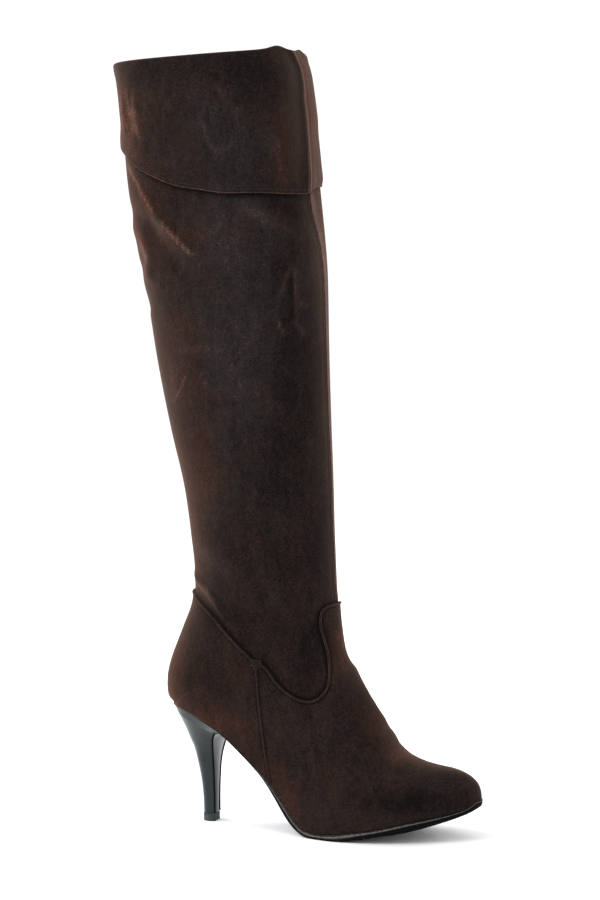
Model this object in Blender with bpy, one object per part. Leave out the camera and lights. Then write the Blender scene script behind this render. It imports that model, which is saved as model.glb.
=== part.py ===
"""Over-the-knee boot for the right foot: hollow upper, vamp, counter, cuff, insole, sole and heel.

Lengths are in millimetres in the boot's own frame: X runs from heel to toe, Y from the outer side
of the foot to the inner side, and Z up from the floor. At the end the whole boot is moved so that
its origin is the middle of the box around it, on the floor.
"""

import bmesh
import bpy
import numpy as np

MM = 0.001

# ---------------------------------------------------------------- driving dimensions

HEEL_BACK, TOE_TIP = 4.0, 227.0  # ends of the upper's outline on the sole
WALL = 1.8  # thickness of the upper
GAP = 0.3  # clearance between pieces that meet
OVERLAY = 1.0  # thickness of the vamp and the counter
SEAT_GAP = 0.5  # the sole's top face lies this far under the upper's edge
SOLE_LIP, SOLE_BEVEL = 1.9, 0.9  # how far the sole's edge stands out, and its cut-back below
INSOLE, INSOLE_RISE = 2.4, 0.1  # its thickness, and its height over the upper's edge
BREAST = 46.0  # front of the heel's seat, where the outsole begins
HEEL_RIM = 1.3  # height of the upright rim around the heel's seat
HEEL_END = 6.0  # height of the heel's lower end above the floor
LIFT_LIP = 0.2  # how far the top lift stands out around the heel's end
CUFF_FACING = 30.0  # how far the cuff reaches down inside the collar
AROUND = 28  # faces around the leg
FINE = 60  # points that a section is worked out on before it is shared out evenly

# ---------------------------------------------------------------- tables

# The upper's outline on the sole: station, middle line, and widths to the outer and inner side.
OUTLINE = np.array([
    (HEEL_BACK, 0.0, 0.0, 0.0),
    (8.5, 0.0, 13.8, 13.8),
    (18, 0.0, 21.4, 21.4),
    (31, 0.0, 24.8, 24.6),
    (48, 0.0, 24.4, 22.4),
    (68, 0.0, 23.8, 18.0),
    (88, 0.0, 25.8, 16.2),
    (108, 0.4, 31.4, 21.0),
    (128, 0.9, 37.2, 29.2),
    (146, 1.3, 38.0, 34.2),
    (164, 1.7, 35.8, 33.9),
    (182, 2.1, 30.6, 30.2),
    (198, 2.5, 23.7, 24.2),
    (211, 2.8, 16.4, 17.4),
    (220, 2.9, 10.2, 10.6),
    (TOE_TIP, 3.0, 0.0, 0.0),
])

# Height of the line where upper and sole meet: station, height.
FEATHER = np.array([
    (HEEL_BACK, 86.4), (10, 85.4), (20, 82.4), (30, 77.8), (40, 72.0), (50, 65.5), (60, 56.6),
    (70, 48.0), (80, 39.4), (90, 29.0), (97, 20.4), (103, 12.4), (109, 7.0), (116, 4.8),
    (124, 4.5), (134, 5.2), (148, 7.6), (164, 10.2), (182, 14.4), (200, 18.0), (214, 21.2),
    (222, 24.2), (TOE_TIP, 28.2),
])

# Underside of the outsole: station, height. It is flat under the ball, between 115 and 135.
UNDERSIDE = np.array([
    (BREAST, 66.6), (50, 63.7), (60, 54.6), (70, 45.2), (79, 35.6), (86, 25.9), (92, 17.2),
    (98.5, 9.0), (104.5, 3.9), (109.5, 1.1), (115, 0), (135, 0), (143, 0.9), (153, 2.7),
    (167, 5.2), (180, 7.3), (192, 10.1), (205, 13.9), (215, 17.2), (224, 21.0),
    (TOE_TIP + SOLE_LIP, 24.2),
])

# Sections of the foot, toe to heel. Each stands on the outline at foot_x and leans back to the
# ridge line. The swells are how far each side bulges past the outline, widest is how high up the
# section it is widest, and low and top are how square it is below and above that (2 is round).
# foot_x, ridge_x, ridge_z, outer_swell, inner_swell, widest, low, top
FOOT = np.array([
    (TOE_TIP, TOE_TIP, 28.2, 0, 0, 0.30, 2, 2),
    (226.2, 226.2, 34.3, 0.3, 0.3, 0.30, 2, 2),
    (224, 224, 39.0, 0.6, 0.6, 0.30, 2, 2),
    (220, 220, 42.5, 1.0, 1.0, 0.30, 2, 2),
    (214, 214, 45.4, 1.4, 1.4, 0.30, 2, 2),
    (206, 206, 47.5, 1.8, 1.8, 0.30, 2, 2),
    (195.5, 195.5, 48.9, 2.0, 2.0, 0.28, 2, 2),
    (184, 184.5, 51.2, 2.2, 2.0, 0.26, 2, 2),
    (171, 174.1, 55.6, 2.2, 2.0, 0.24, 2, 1.9),
    (157, 167.0, 62.0, 2.0, 2.0, 0.22, 2, 1.8),
    (144, 163.1, 69.5, 2.0, 2.0, 0.22, 2, 1.75),
    (134, 160.0, 75.3, 2.0, 2.1, 0.22, 2, 1.7),
    (124, 156.5, 81.0, 2.1, 2.5, 0.24, 2, 1.7),
    (115.5, 153.4, 86.0, 2.4, 3.1, 0.26, 2, 1.7),
    (109, 151.0, 89.8, 2.9, 3.9, 0.28, 2, 1.7),
    (103.5, 148.9, 93.0, 3.4, 4.7, 0.30, 2, 1.7),
    (97.5, 146.6, 96.5, 4.0, 5.5, 0.33, 2, 1.7),
    (90, 144.2, 100.4, 4.7, 7.0, 0.37, 2, 1.7),
    (80, 140.9, 105.7, 5.7, 8.8, 0.41, 2, 1.7),
    (67, 137.0, 112.2, 7.0, 10.5, 0.45, 2.1, 1.8),
    (55, 133.4, 117.6, 7.9, 10.4, 0.48, 2.2, 1.8),
    (45, 130.7, 121.9, 8.0, 9.6, 0.49, 2.3, 1.85),
    (36, 128.8, 125.8, 8.0, 8.9, 0.50, 2.4, 1.9),
    (27.5, 127.6, 129.8, 8.8, 8.9, 0.50, 2.5, 1.9),
    (20, 126.8, 133.6, 11.0, 11.0, 0.50, 2.5, 1.9),
    (13.5, 126.2, 137.4, 14.8, 14.8, 0.50, 2.5, 1.9),
    (8.8, 125.7, 141.2, 19.8, 19.8, 0.50, 2.5, 1.9),
    (5.4, 125.2, 145.0, 26.0, 26.0, 0.50, 2.4, 1.9),
])

# Sections of the leg, from the heel's back up to the collar: closed rings.
# back_x, back_z, front_x, front_z, half_width, widest, low, top
LEG = np.array([
    (HEEL_BACK, 86.4, 124.7, 148.5, 34.4, 0.50, 2.3, 2.0),
    (0.6, 88.8, 124.3, 152.5, 34.8, 0.50, 2.3, 2.0),
    (-0.7, 97, 124.0, 156.5, 35.2, 0.50, 2.2, 2.0),
    (0.2, 107, 123.6, 160.5, 35.7, 0.50, 2.2, 2.0),
    (3.5, 119, 123.2, 165.0, 36.3, 0.50, 2.1, 2.0),
    (11.0, 138, 122.4, 171.5, 37.2, 0.50, 2.0, 2.0),
    (18.5, 158, 121.8, 180.5, 37.8, 0.50, 2.0, 2.0),
    (19.2, 180, 121.2, 193, 38.2, 0.50, 2.0, 2.0),
    (16.7, 205, 120.3, 213, 39.0, 0.50, 2.0, 2.0),
    (11.6, 240, 119.1, 250, 41.0, 0.50, 2.0, 2.0),
    (2.5, 280, 117.0, 290, 44.0, 0.50, 2.1, 2.1),
    (-6.8, 325, 115.4, 335, 47.0, 0.50, 2.1, 2.1),
    (-12.9, 365, 114.1, 375, 49.2, 0.50, 2.2, 2.2),
    (-17.2, 387, 112.7, 398, 50.0, 0.50, 2.3, 2.3),
    (-22.2, 417, 109.5, 427, 51.0, 0.50, 2.4, 2.4),
    (-26.6, 453, 104.6, 463, 51.9, 0.50, 2.6, 2.6),
    (-29.4, 498, 98.7, 508, 52.5, 0.50, 2.8, 2.8),
    (-33.5, 532, 93.4, 540, 52.5, 0.50, 2.8, 2.8),
])

# Edges of the overlays as seen from the side: station, height.
SIDE_SEAM = np.array([(84.4, 20), (83.5, 35), (80.6, 59), (78.6, 85), (77.3, 102), (76.0, 120.5)])
VAMP_TOP = np.array([
    (76.0, 120.5), (82.4, 117.6), (89.8, 108.4), (96.9, 101.4), (104.9, 96.6), (113.5, 94.6),
    (120.5, 97.8), (124.6, 104.6), (125.0, 114.4), (122.8, 125.4), (120.3, 136), (118.0, 145),
    (117.7, 152), (119.3, 157.6), (123.5, 159.8),
])
COUNTER_TOP = np.array([
    (76.0, 120.5), (66.0, 129.4), (57.0, 138.5), (47.3, 148.2), (38.0, 155.2), (30.0, 159.9),
    (24.0, 163.3), (17.0, 165.8),
])

# Depth of the cuff's hem under the collar: share of the way round from the back, depth.
HEM = np.array([
    (0, 52), (0.07, 56), (0.103, 62), (0.14, 72), (0.163, 76.5), (0.21, 84.5), (0.257, 88.5),
    (0.303, 92), (0.353, 93), (0.437, 95.5), (0.46, 95.5), (0.48, 93.5), (0.5, 91), (0.55, 89.5),
    (0.6, 89.5), (0.66, 91), (0.7, 91), (0.743, 88.5), (0.79, 84.5), (0.837, 76.5), (0.86, 72),
    (0.897, 62), (0.93, 56), (1, 52),
])

# Outline of the cuff's own section, once round: distance out from the upper's face, share of the
# way down to the hem, share of the way down the inside facing, and rise above the collar.
CUFF_SECTION = np.array([
    (2.7, 1, 0, 0), (2.6, 0.6, 0, 0), (2.4, 0.25, 0, 0), (2.2, 0.05, 0, 0), (1.9, 0, 0, 0.9),
    (0.9, 0, 0, 1.9), (-0.7, 0, 0, 2.2), (-2.3, 0, 0, 1.9), (-3.3, 0, 0, 0.9), (-3.6, 0, 0.1, 0),
    (-3.6, 0, 1, 0), (-2.2, 0, 1, 0), (-2.2, 0, 0.1, 0), (-2.2, 0, 0, 0.5), (0.4, 0, 0, 0.5),
    (0.6, 0.05, 0, 0), (1.0, 0.25, 0, 0), (1.4, 0.6, 0, 0), (1.5, 1, 0, 0),
])

# Sections of the heel below its rim, top to bottom. The breast is the heel's front face, which
# bulges by its crown.
# back_x, back_z, breast_x, breast_z, breast_half_width, half_width, widest, roundness, crown
HEEL = np.array([
    (5.5, 81.0, 39.5, 65.8, 19.6, 21.6, 0.35, 2.4, 0.8),
    (8.0, 75.5, 37.0, 62.4, 16.8, 18.8, 0.35, 2.3, 0.9),
    (10.6, 69.5, 35.6, 57.8, 14.0, 15.9, 0.37, 2.2, 1.0),
    (13.3, 62.0, 34.6, 52.5, 11.2, 12.8, 0.40, 2.1, 1.0),
    (16.8, 53.5, 34.0, 47.0, 8.9, 10.4, 0.42, 2.0, 0.9),
    (19.3, 44.0, 33.6, 39.5, 6.9, 8.6, 0.44, 2.0, 0.8),
    (21.8, 32.0, 33.5, 29.0, 5.6, 7.0, 0.45, 2.0, 0.7),
    (23.3, 20.0, 33.5, 18.5, 4.9, 6.0, 0.45, 2.0, 0.6),
    (24.0, HEEL_END, 33.6, HEEL_END, 4.7, 5.6, 0.45, 2.0, 0.5),
])

HEEL_ROW = len(FOOT)  # the section that passes through the heel's back
TOP_ROW = HEEL_ROW + len(LEG) - 1

SUEDE = ("suede", (0.034, 0.022, 0.017), 0.92)
LINING = ("lining", (0.16, 0.11, 0.08), 0.85)
SOLE_RUBBER = ("sole_rubber", (0.012, 0.012, 0.013), 0.55)
HEEL_PLASTIC = ("heel_plastic", (0.035, 0.042, 0.042), 0.25)

# ---------------------------------------------------------------- curves and sections


def smooth(at, places, values):
    """A smooth curve through a table's points, each with the slope of its two neighbours."""
    at = np.asarray(at, float)
    places = np.asarray(places, float)
    gaps = np.diff(places)
    if values.ndim > 1:
        at = at[..., None]
        gaps = gaps[:, None]
    slopes = np.diff(values, axis=0) / gaps
    inner = (slopes[:-1] * gaps[1:] + slopes[1:] * gaps[:-1]) / (gaps[:-1] + gaps[1:])
    bends = np.concatenate([[2 * slopes[0] - inner[0]], inner, [2 * slopes[-1] - inner[-1]]])
    where = at[..., 0] if values.ndim > 1 else at
    i = np.clip(np.searchsorted(places, where, side="right") - 1, 0, len(places) - 2)
    start = places[i][..., None] if values.ndim > 1 else places[i]
    t = (at - start) / gaps[i]
    rest = 1 - t
    level = values[i] * (1 + 2 * t) * rest**2 + values[i + 1] * t**2 * (3 - 2 * t)
    return level + gaps[i] * (bends[i] * t * rest**2 - bends[i + 1] * t**2 * rest)


def turn(x):
    """The angle that makes the outline's two ends round when it is read against it."""
    share = (np.asarray(x, float) - HEEL_BACK) / (TOE_TIP - HEEL_BACK)
    return np.arccos(np.clip(1 - 2 * share, -1, 1))


def outline(x):
    """Middle line and the two half widths of the upper's outline at station x."""
    return smooth(turn(x), turn(OUTLINE[:, 0]), OUTLINE[:, 1:])


def feather(x):
    """Height of the line where upper and sole meet at station x."""
    return smooth(np.clip(x, HEEL_BACK, TOE_TIP), FEATHER[:, 0], FEATHER[:, 1])


def half_section(end, width, widest, low, top):
    """One side of a section, from its lower end to the ridge: how far up and how far out."""
    angle = np.linspace(0, np.pi / 2, FINE)
    under = np.cos(angle) ** (2 / low)
    kept = 1 - (end / max(width, 1e-9)) ** low
    over = np.sin(angle) ** (2 / top)
    up = np.append(widest * (1 - under), widest + (1 - widest) * over[1:])
    out = np.append(
        (1 - kept * under**low) ** (1 / low),
        np.cos(angle[1:]) ** (2 / max(top, 2)),
    )
    return up, width * out


def section(row):
    """Points of one section, evenly shared from its outer end over the ridge to its inner end."""
    shapes = np.concatenate([FOOT[:, 1:], LEG[:, [2, 3, 4, 4, 5, 6, 7]]])
    ridge_x, ridge_z, *swells, widest, low, top = smooth(row, np.arange(len(shapes)), shapes)
    if row < HEEL_ROW:
        stations = np.append(FOOT[:, 0], HEEL_BACK)
        low_x = smooth(row, np.arange(HEEL_ROW + 1), stations)
        middle, *ends = outline(low_x)
        low_z = feather(low_x)
    else:
        low_x, low_z = smooth(row - HEEL_ROW, np.arange(len(LEG)), LEG[:, :2])
        middle = 0
        ends = [0, 0]
    height = np.hypot(ridge_x - low_x, ridge_z - low_z)
    sides = []
    for end, swell, side in zip(ends, swells, (-1, 1)):
        up, out = half_section(end, end + swell, widest, low, top)
        walked = np.append(0, np.cumsum(np.hypot(np.diff(up) * height, np.diff(out))))
        shares = np.linspace(0, walked[-1], AROUND // 2 + 1)
        up = np.interp(shares, walked, up)
        out = np.interp(shares, walked, out)
        x = low_x + (ridge_x - low_x) * up
        z = low_z + (ridge_z - low_z) * up
        sides.append(np.stack([x, middle + side * out, z], axis=1))
    outer, inner = sides
    return np.concatenate([outer, inner[-2::-1]])


def form(rows):
    """The upper's outer face: its points by row and column, and their outward directions."""
    rows = np.asarray(rows, float)
    points = np.array([section(row) for row in rows])
    along = np.gradient(points, axis=0)
    across = np.gradient(points, axis=1)
    closed = rows >= HEEL_ROW
    wrapped = (points[closed, 1] - points[closed, -2]) / 2
    across[closed, 0] = wrapped
    across[closed, -1] = wrapped
    outward = np.cross(across, along)
    outward[rows == 0] = (1, 0, 0)
    outward /= np.linalg.norm(outward, axis=2, keepdims=True)
    on_sole = rows <= HEEL_ROW
    for column in (0, -1):
        level = outward[on_sole, column] * (1, 1, 0)
        outward[on_sole, column] = level / np.linalg.norm(level, axis=1, keepdims=True)
    return points, outward


# ---------------------------------------------------------------- meshes


def material(finish):
    name, colour, roughness = finish
    made = bpy.data.materials.get(name) or bpy.data.materials.new(name)
    made.use_nodes = True
    made.diffuse_color = (*colour, 1)
    shader = made.node_tree.nodes["Principled BSDF"]
    shader.inputs["Base Color"].default_value = (*colour, 1)
    shader.inputs["Roughness"].default_value = roughness
    return made


def make_solid(name, points, faces, finish):
    """An object from points in millimetres, with coincident ones made one and faces turned out."""
    mesh = bpy.data.meshes.new(name)
    mesh.from_pydata((np.asarray(points) * MM).tolist(), [], faces)
    work = bmesh.new()
    work.from_mesh(mesh)
    bmesh.ops.remove_doubles(work, verts=work.verts, dist=0.001 * MM)
    bmesh.ops.recalc_face_normals(work, faces=work.faces)
    work.to_mesh(mesh)
    work.free()
    mesh.shade_smooth()
    mesh.set_sharp_from_angle(angle=np.radians(40))
    mesh.materials.append(material(finish))
    made = bpy.data.objects.new(name, mesh)
    bpy.context.scene.collection.objects.link(made)
    return made


def loft(rings, closed_ends=True):
    """Points and faces of a solid through rings with equally many points, capped at both ends."""
    count = len(rings[0])
    points = np.concatenate(rings)
    faces = []
    for start in range(0, (len(rings) - 1) * count, count):
        for i in range(count):
            j = (i + 1) % count
            faces.append((start + i, start + j, start + count + j, start + count + i))
    if closed_ends:
        faces.append(tuple(range(count)))
        faces.append(tuple(range(len(points) - count, len(points))))
    return points, faces


def wall(rows, outside, inside):
    """Points and faces of the upper's form between two distances from it, open at top and sole."""
    points, outward = form(rows)
    faces_wide = points.shape[1] - 1
    skins = []
    for lift in (outside, inside):
        skin = points + outward * lift
        on_sole = np.asarray(rows) <= HEEL_ROW
        for column in (0, -1):
            skin[on_sole, column, 2] = feather(skin[on_sole, column, 0])
        skins.append(skin)
    width = faces_wide + 1
    layer = len(rows) * width
    faces = []
    for i in range(len(rows) - 1):
        for j in range(faces_wide):
            a, b = i * width + j, i * width + j + 1
            c, d = b + width, a + width
            halves = ((a, b, c), (a, c, d)) if j < faces_wide / 2 else ((a, b, d), (b, c, d))
            for half in halves:
                faces.append(half)
                faces.append(tuple(layer + corner for corner in half))
        if rows[i] < HEEL_ROW:
            for a in (i * width, i * width + faces_wide):
                faces.append((a, a + width, a + width + layer, a + layer))
    last = (len(rows) - 1) * width
    for a in range(last, last + faces_wide):
        faces.append((a, a + 1, a + 1 + layer, a + layer))
    return np.concatenate(skins).reshape(-1, 3), faces


def sole_edges(offset, rows):
    """Outer and inner edge points of the foot's outline, moved outward in plan."""
    points, _ = form(rows)
    outer = points[:, 0, :2]
    inner = points[:, -1, :2]
    moved = []
    for edge, side in ((outer, -1), (inner, 1)):
        other = inner if side < 0 else outer
        whole = np.concatenate([other[1:2], edge, other[-2:-1]])
        along = whole[2:] - whole[:-2]
        away = np.stack([along[:, 1], -along[:, 0]], axis=1) * side
        moved.append(edge + offset * away / np.linalg.norm(away, axis=1, keepdims=True))
    return moved


def edge_at(edge, x):
    """The point of an edge, given from toe to heel, at station x."""
    return np.array([x, np.interp(x, edge[::-1, 0], edge[::-1, 1])])


def at_height(edge, heights):
    return np.column_stack([edge, heights])


# ---------------------------------------------------------------- pieces


def make_upper():
    rows = np.arange(TOP_ROW + 1)
    return make_solid("upper", *wall(rows, 0, -WALL), SUEDE)


def side_cutter(name, edge):
    """A wide prism whose outline, seen from the side, is the given closed edge."""
    reach = 100
    rings = [np.column_stack([edge[:, 0], np.full(len(edge), y), edge[:, 1]]) for y in (-reach, reach)]
    cutter = make_solid(name, *loft(rings), SUEDE)
    cutter.hide_render = True
    cutter.display_type = "WIRE"
    return cutter


def curve_points(table, count):
    return smooth(np.linspace(0, len(table) - 1, count), np.arange(len(table)), table)


def make_overlay(name, edge):
    """A skin over the upper, cut to an outline in side view."""
    rows = np.arange(HEEL_ROW + 9)
    skin = make_solid(name, *wall(rows, GAP + OVERLAY, GAP), SUEDE)
    cut = skin.modifiers.new("cut to outline", "BOOLEAN")
    cut.operation = "INTERSECT"
    cut.object = side_cutter(name + "_outline", edge)
    return skin


def make_vamp():
    far_x, far_z = 260, 0
    seam = curve_points(SIDE_SEAM, 12) + (GAP / 2, 0)
    top = curve_points(VAMP_TOP, 32) + (GAP / 2, 0)
    front = [(far_x, top[-1, 1]), (far_x, far_z), (seam[0, 0], far_z)]
    return make_overlay("vamp", np.concatenate([seam, top[1:], front]))


def make_counter():
    far_x, far_z = -40, 0
    seam = curve_points(SIDE_SEAM, 12) - (GAP / 2, 0)
    top = curve_points(COUNTER_TOP, 16) - (GAP / 2, 0)
    behind = [(far_x, top[-1, 1]), (far_x, far_z), (seam[0, 0], far_z)]
    return make_overlay("counter", np.concatenate([seam, top[1:], behind]))


def make_cuff():
    rows = np.arange(TOP_ROW - 4, TOP_ROW + 0.1, 0.5)
    points, outward = form(rows)
    collar = points[-1]
    shares = np.linspace(0, 1, AROUND + 1)
    hem = smooth(shares, HEM[:, 0], HEM[:, 1])
    shaft_up = (collar - points[-2]).mean(axis=0) * (1, 0, 1)
    shaft_up /= np.linalg.norm(shaft_up)
    rings = []
    for lift, hem_share, facing_share, rise in CUFF_SECTION:
        depth = hem_share * hem + facing_share * CUFF_FACING
        ring = []
        for j in range(AROUND):
            heights = points[:, j, 2]
            z = collar[j, 2] - depth[j]
            place = [np.interp(z, heights, points[:, j, k]) for k in range(3)]
            away = [np.interp(z, heights, outward[:, j, k]) for k in range(3)]
            ring.append(np.array(place) + lift * np.array(away) + rise * shaft_up)
        rings.append(np.array(ring))
    rings.append(rings[0])
    return make_solid("cuff", *loft(rings, closed_ends=False), SUEDE)


def make_insole():
    rows = np.arange(HEEL_ROW + 1)
    outer, inner = sole_edges(-(WALL + 2 * GAP), rows)
    rings = []
    for a, b in zip(outer, inner):
        low = feather(np.array([b[0], a[0]])) + INSOLE_RISE
        corners = np.array([b, a])
        rings.append(np.concatenate([at_height(corners, low), at_height(corners[::-1], low[::-1] + INSOLE)]))
    return make_solid("insole", *loft(rings), LINING)


def make_outsole():
    rows = np.arange(HEEL_ROW + 1)
    start = BREAST + GAP
    edges = []
    for offset in (SOLE_LIP, SOLE_LIP - SOLE_BEVEL):
        for whole in sole_edges(offset, rows):
            edges.append(np.vstack([whole[whole[:, 0] > start], edge_at(whole, start)]))
    shortest = min(len(edge) for edge in edges) - 1
    edges = [np.vstack([edge[:shortest], edge[-1:]]) for edge in edges]
    rings = []
    for outer, inner, low_outer, low_inner in zip(*edges):
        ring = []
        for point, share in (
            (outer, 1), (inner, 1), (inner, 0.45), (low_inner, 0), (low_outer, 0), (outer, 0.45),
        ):
            top = feather(point[0]) - SEAT_GAP
            bottom = max(smooth(point[0], UNDERSIDE[:, 0], UNDERSIDE[:, 1]), 0)
            ring.append((*point, bottom + share * (top - bottom)))
        rings.append(np.array(ring))
    return make_solid("outsole", *loft(rings), SOLE_RUBBER)


def make_heel():
    rows = np.arange(HEEL_ROW + 1)
    outer, inner = sole_edges(GAP + OVERLAY, rows)
    seat = []
    for edge in (outer, inner):
        behind = edge[edge[:, 0] < BREAST]
        seat.append(np.vstack([edge_at(edge, BREAST), behind]))
    outer, inner = seat
    back = outer[-1, 0]
    depth = (BREAST - outer[:, 0]) / (BREAST - back)
    around = np.concatenate([outer, inner[-2::-1]])
    top = at_height(around, feather(around[:, 0]) - SEAT_GAP)
    breast = np.linspace(1, -1, 6)[1:-1]
    front = np.column_stack([np.full(4, BREAST), breast * inner[0, 1], np.full(4, top[0, 2])])
    rings = [np.concatenate([top, front])]
    rings.append(rings[0] - (0, 0, HEEL_RIM))
    for back_x, back_z, breast_x, breast_z, corner, half, widest, roundness, crown in HEEL:
        up, out = half_section(corner, half, widest, 2, roundness)
        widths = np.interp(depth, up, out)
        sides = np.concatenate([-widths, widths[-2::-1]])
        shares = np.concatenate([depth, depth[-2::-1]])
        ring = np.column_stack([
            breast_x + (back_x - breast_x) * shares,
            sides,
            breast_z + (back_z - breast_z) * shares,
        ])
        face = np.column_stack([
            breast_x + crown * (1 - breast**2),
            breast * corner,
            np.full(4, breast_z),
        ])
        rings.append(np.concatenate([ring, face]))
    points, faces = loft(rings, closed_ends=False)
    count = len(rings[0])
    last = len(outer) + len(inner) - 2
    for i in range(len(outer) - 2):
        faces.append((i, i + 1, last - i - 1, last - i))
    faces.append((len(outer) - 2, len(outer) - 1, len(outer)))
    faces.append((0, *range(last, count)))
    faces.append(tuple(range(len(points) - count, len(points))))
    return make_solid("heel", points, faces, HEEL_PLASTIC)


def make_top_lift():
    back_x, _, breast_x, _, corner, half, widest, roundness, _ = HEEL[-1]
    up, out = half_section(corner, half, widest, 2, roundness)
    depth = np.linspace(0, 1, 9)
    widths = np.interp(depth, up, out) + LIFT_LIP * (1 - depth**8)
    x = breast_x + LIFT_LIP + (back_x - breast_x - 2 * LIFT_LIP) * depth
    plan = np.concatenate([np.column_stack([x, -widths]), np.column_stack([x, widths])[-2::-1]])
    rings = [at_height(plan, np.full(len(plan), z)) for z in (0, HEEL_END - GAP)]
    return make_solid("top_lift", *loft(rings), SOLE_RUBBER)


def centre_on_floor(pieces):
    """Parents the pieces to an empty that puts the middle of their box over the origin."""
    bpy.context.view_layer.update()
    corners = np.array([corner for piece in pieces for corner in piece.bound_box])
    middle = (corners.min(axis=0) + corners.max(axis=0)) / 2
    boot = bpy.data.objects.new("boot", None)
    boot.location = (-middle[0], -middle[1], 0)
    bpy.context.scene.collection.objects.link(boot)
    for piece in bpy.context.scene.collection.objects:
        if piece is not boot:
            piece.parent = boot
    return middle


for old in list(bpy.data.objects):
    bpy.data.objects.remove(old)

upper = make_upper()
vamp = make_vamp()
counter = make_counter()
cuff = make_cuff()
insole = make_insole()
outsole = make_outsole()
heel = make_heel()
top_lift = make_top_lift()
middle = centre_on_floor([upper, cuff, outsole, heel, top_lift])
print("moved by", np.round(-middle[:2] / MM, 2), "mm")
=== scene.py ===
# %% [markdown]
# # An over-the-knee boot
# The boot has a soft upper of dark brown brushed suede, a cuff that is turned down at the collar, a
# vamp over the foot and a counter round the heel, and below them a thin black sole and a slim,
# glossy heel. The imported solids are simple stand-ins for all of these, so this lesson makes each
# piece again with its real surface, in the place that its solid holds.

import bmesh
import bpy
import mathutils
import numpy as np
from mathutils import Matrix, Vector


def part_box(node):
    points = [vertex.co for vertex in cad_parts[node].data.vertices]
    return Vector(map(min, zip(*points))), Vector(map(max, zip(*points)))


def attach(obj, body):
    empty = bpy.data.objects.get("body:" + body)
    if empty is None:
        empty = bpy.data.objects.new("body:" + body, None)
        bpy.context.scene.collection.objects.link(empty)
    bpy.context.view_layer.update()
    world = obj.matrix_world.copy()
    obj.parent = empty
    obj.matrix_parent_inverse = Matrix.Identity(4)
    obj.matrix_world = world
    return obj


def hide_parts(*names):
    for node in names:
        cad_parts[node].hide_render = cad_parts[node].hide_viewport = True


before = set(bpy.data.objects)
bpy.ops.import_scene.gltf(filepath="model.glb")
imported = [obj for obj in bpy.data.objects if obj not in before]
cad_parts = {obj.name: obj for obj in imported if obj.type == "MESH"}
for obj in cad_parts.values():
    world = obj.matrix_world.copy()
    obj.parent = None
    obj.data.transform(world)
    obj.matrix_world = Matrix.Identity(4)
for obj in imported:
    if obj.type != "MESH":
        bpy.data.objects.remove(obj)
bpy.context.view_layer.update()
MM = 0.001
print("solids:", ", ".join(sorted(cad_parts)))

# %% [markdown]
# A maker works in millimetres from the back of the heel and from the floor. Blender's scene is in
# metres, and its origin is the middle of the boot. The tip of the toe is known in both, so the
# distance between the two origins follows from it.

# %% Find the boot's own origin
HEEL_BACK, TOE_TIP = 4.0, 227.0
ORIGIN = np.array([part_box("upper")[1].x / MM - TOE_TIP, 0.0, 0.0])
print("the boot's own origin lies", round(ORIGIN[0], 1), "mm along X")

# %% [markdown]
# The upper is drawn as a shoemaker draws a last: an outline on the sole, the height of the line
# where upper and sole meet, and sections that stand on that line. Each section leans back from the
# sole to a point on the instep's ridge, so the sections of the foot fan out round the ankle and
# turn into the rings of the leg. A few rows of numbers describe the whole surface.

# %% Tables of the foot
# station, middle line, width to the outer side, width to the inner side
OUTLINE = np.array([
    (HEEL_BACK, 0.0, 0.0, 0.0), (8.5, 0.0, 13.8, 13.8), (18, 0.0, 21.4, 21.4),
    (31, 0.0, 24.8, 24.6), (48, 0.0, 24.4, 22.4), (68, 0.0, 23.8, 18.0), (88, 0.0, 25.8, 16.2),
    (108, 0.4, 31.4, 21.0), (128, 0.9, 37.2, 29.2), (146, 1.3, 38.0, 34.2),
    (164, 1.7, 35.8, 33.9), (182, 2.1, 30.6, 30.2), (198, 2.5, 23.7, 24.2),
    (211, 2.8, 16.4, 17.4), (220, 2.9, 10.2, 10.6), (TOE_TIP, 3.0, 0.0, 0.0),
])

# station, height of the line where upper and sole meet
FEATHER = np.array([
    (HEEL_BACK, 86.4), (10, 85.4), (20, 82.4), (30, 77.8), (40, 72.0), (50, 65.5), (60, 56.6),
    (70, 48.0), (80, 39.4), (90, 29.0), (97, 20.4), (103, 12.4), (109, 7.0), (116, 4.8),
    (124, 4.5), (134, 5.2), (148, 7.6), (164, 10.2), (182, 14.4), (200, 18.0), (214, 21.2),
    (222, 24.2), (TOE_TIP, 28.2),
])

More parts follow.
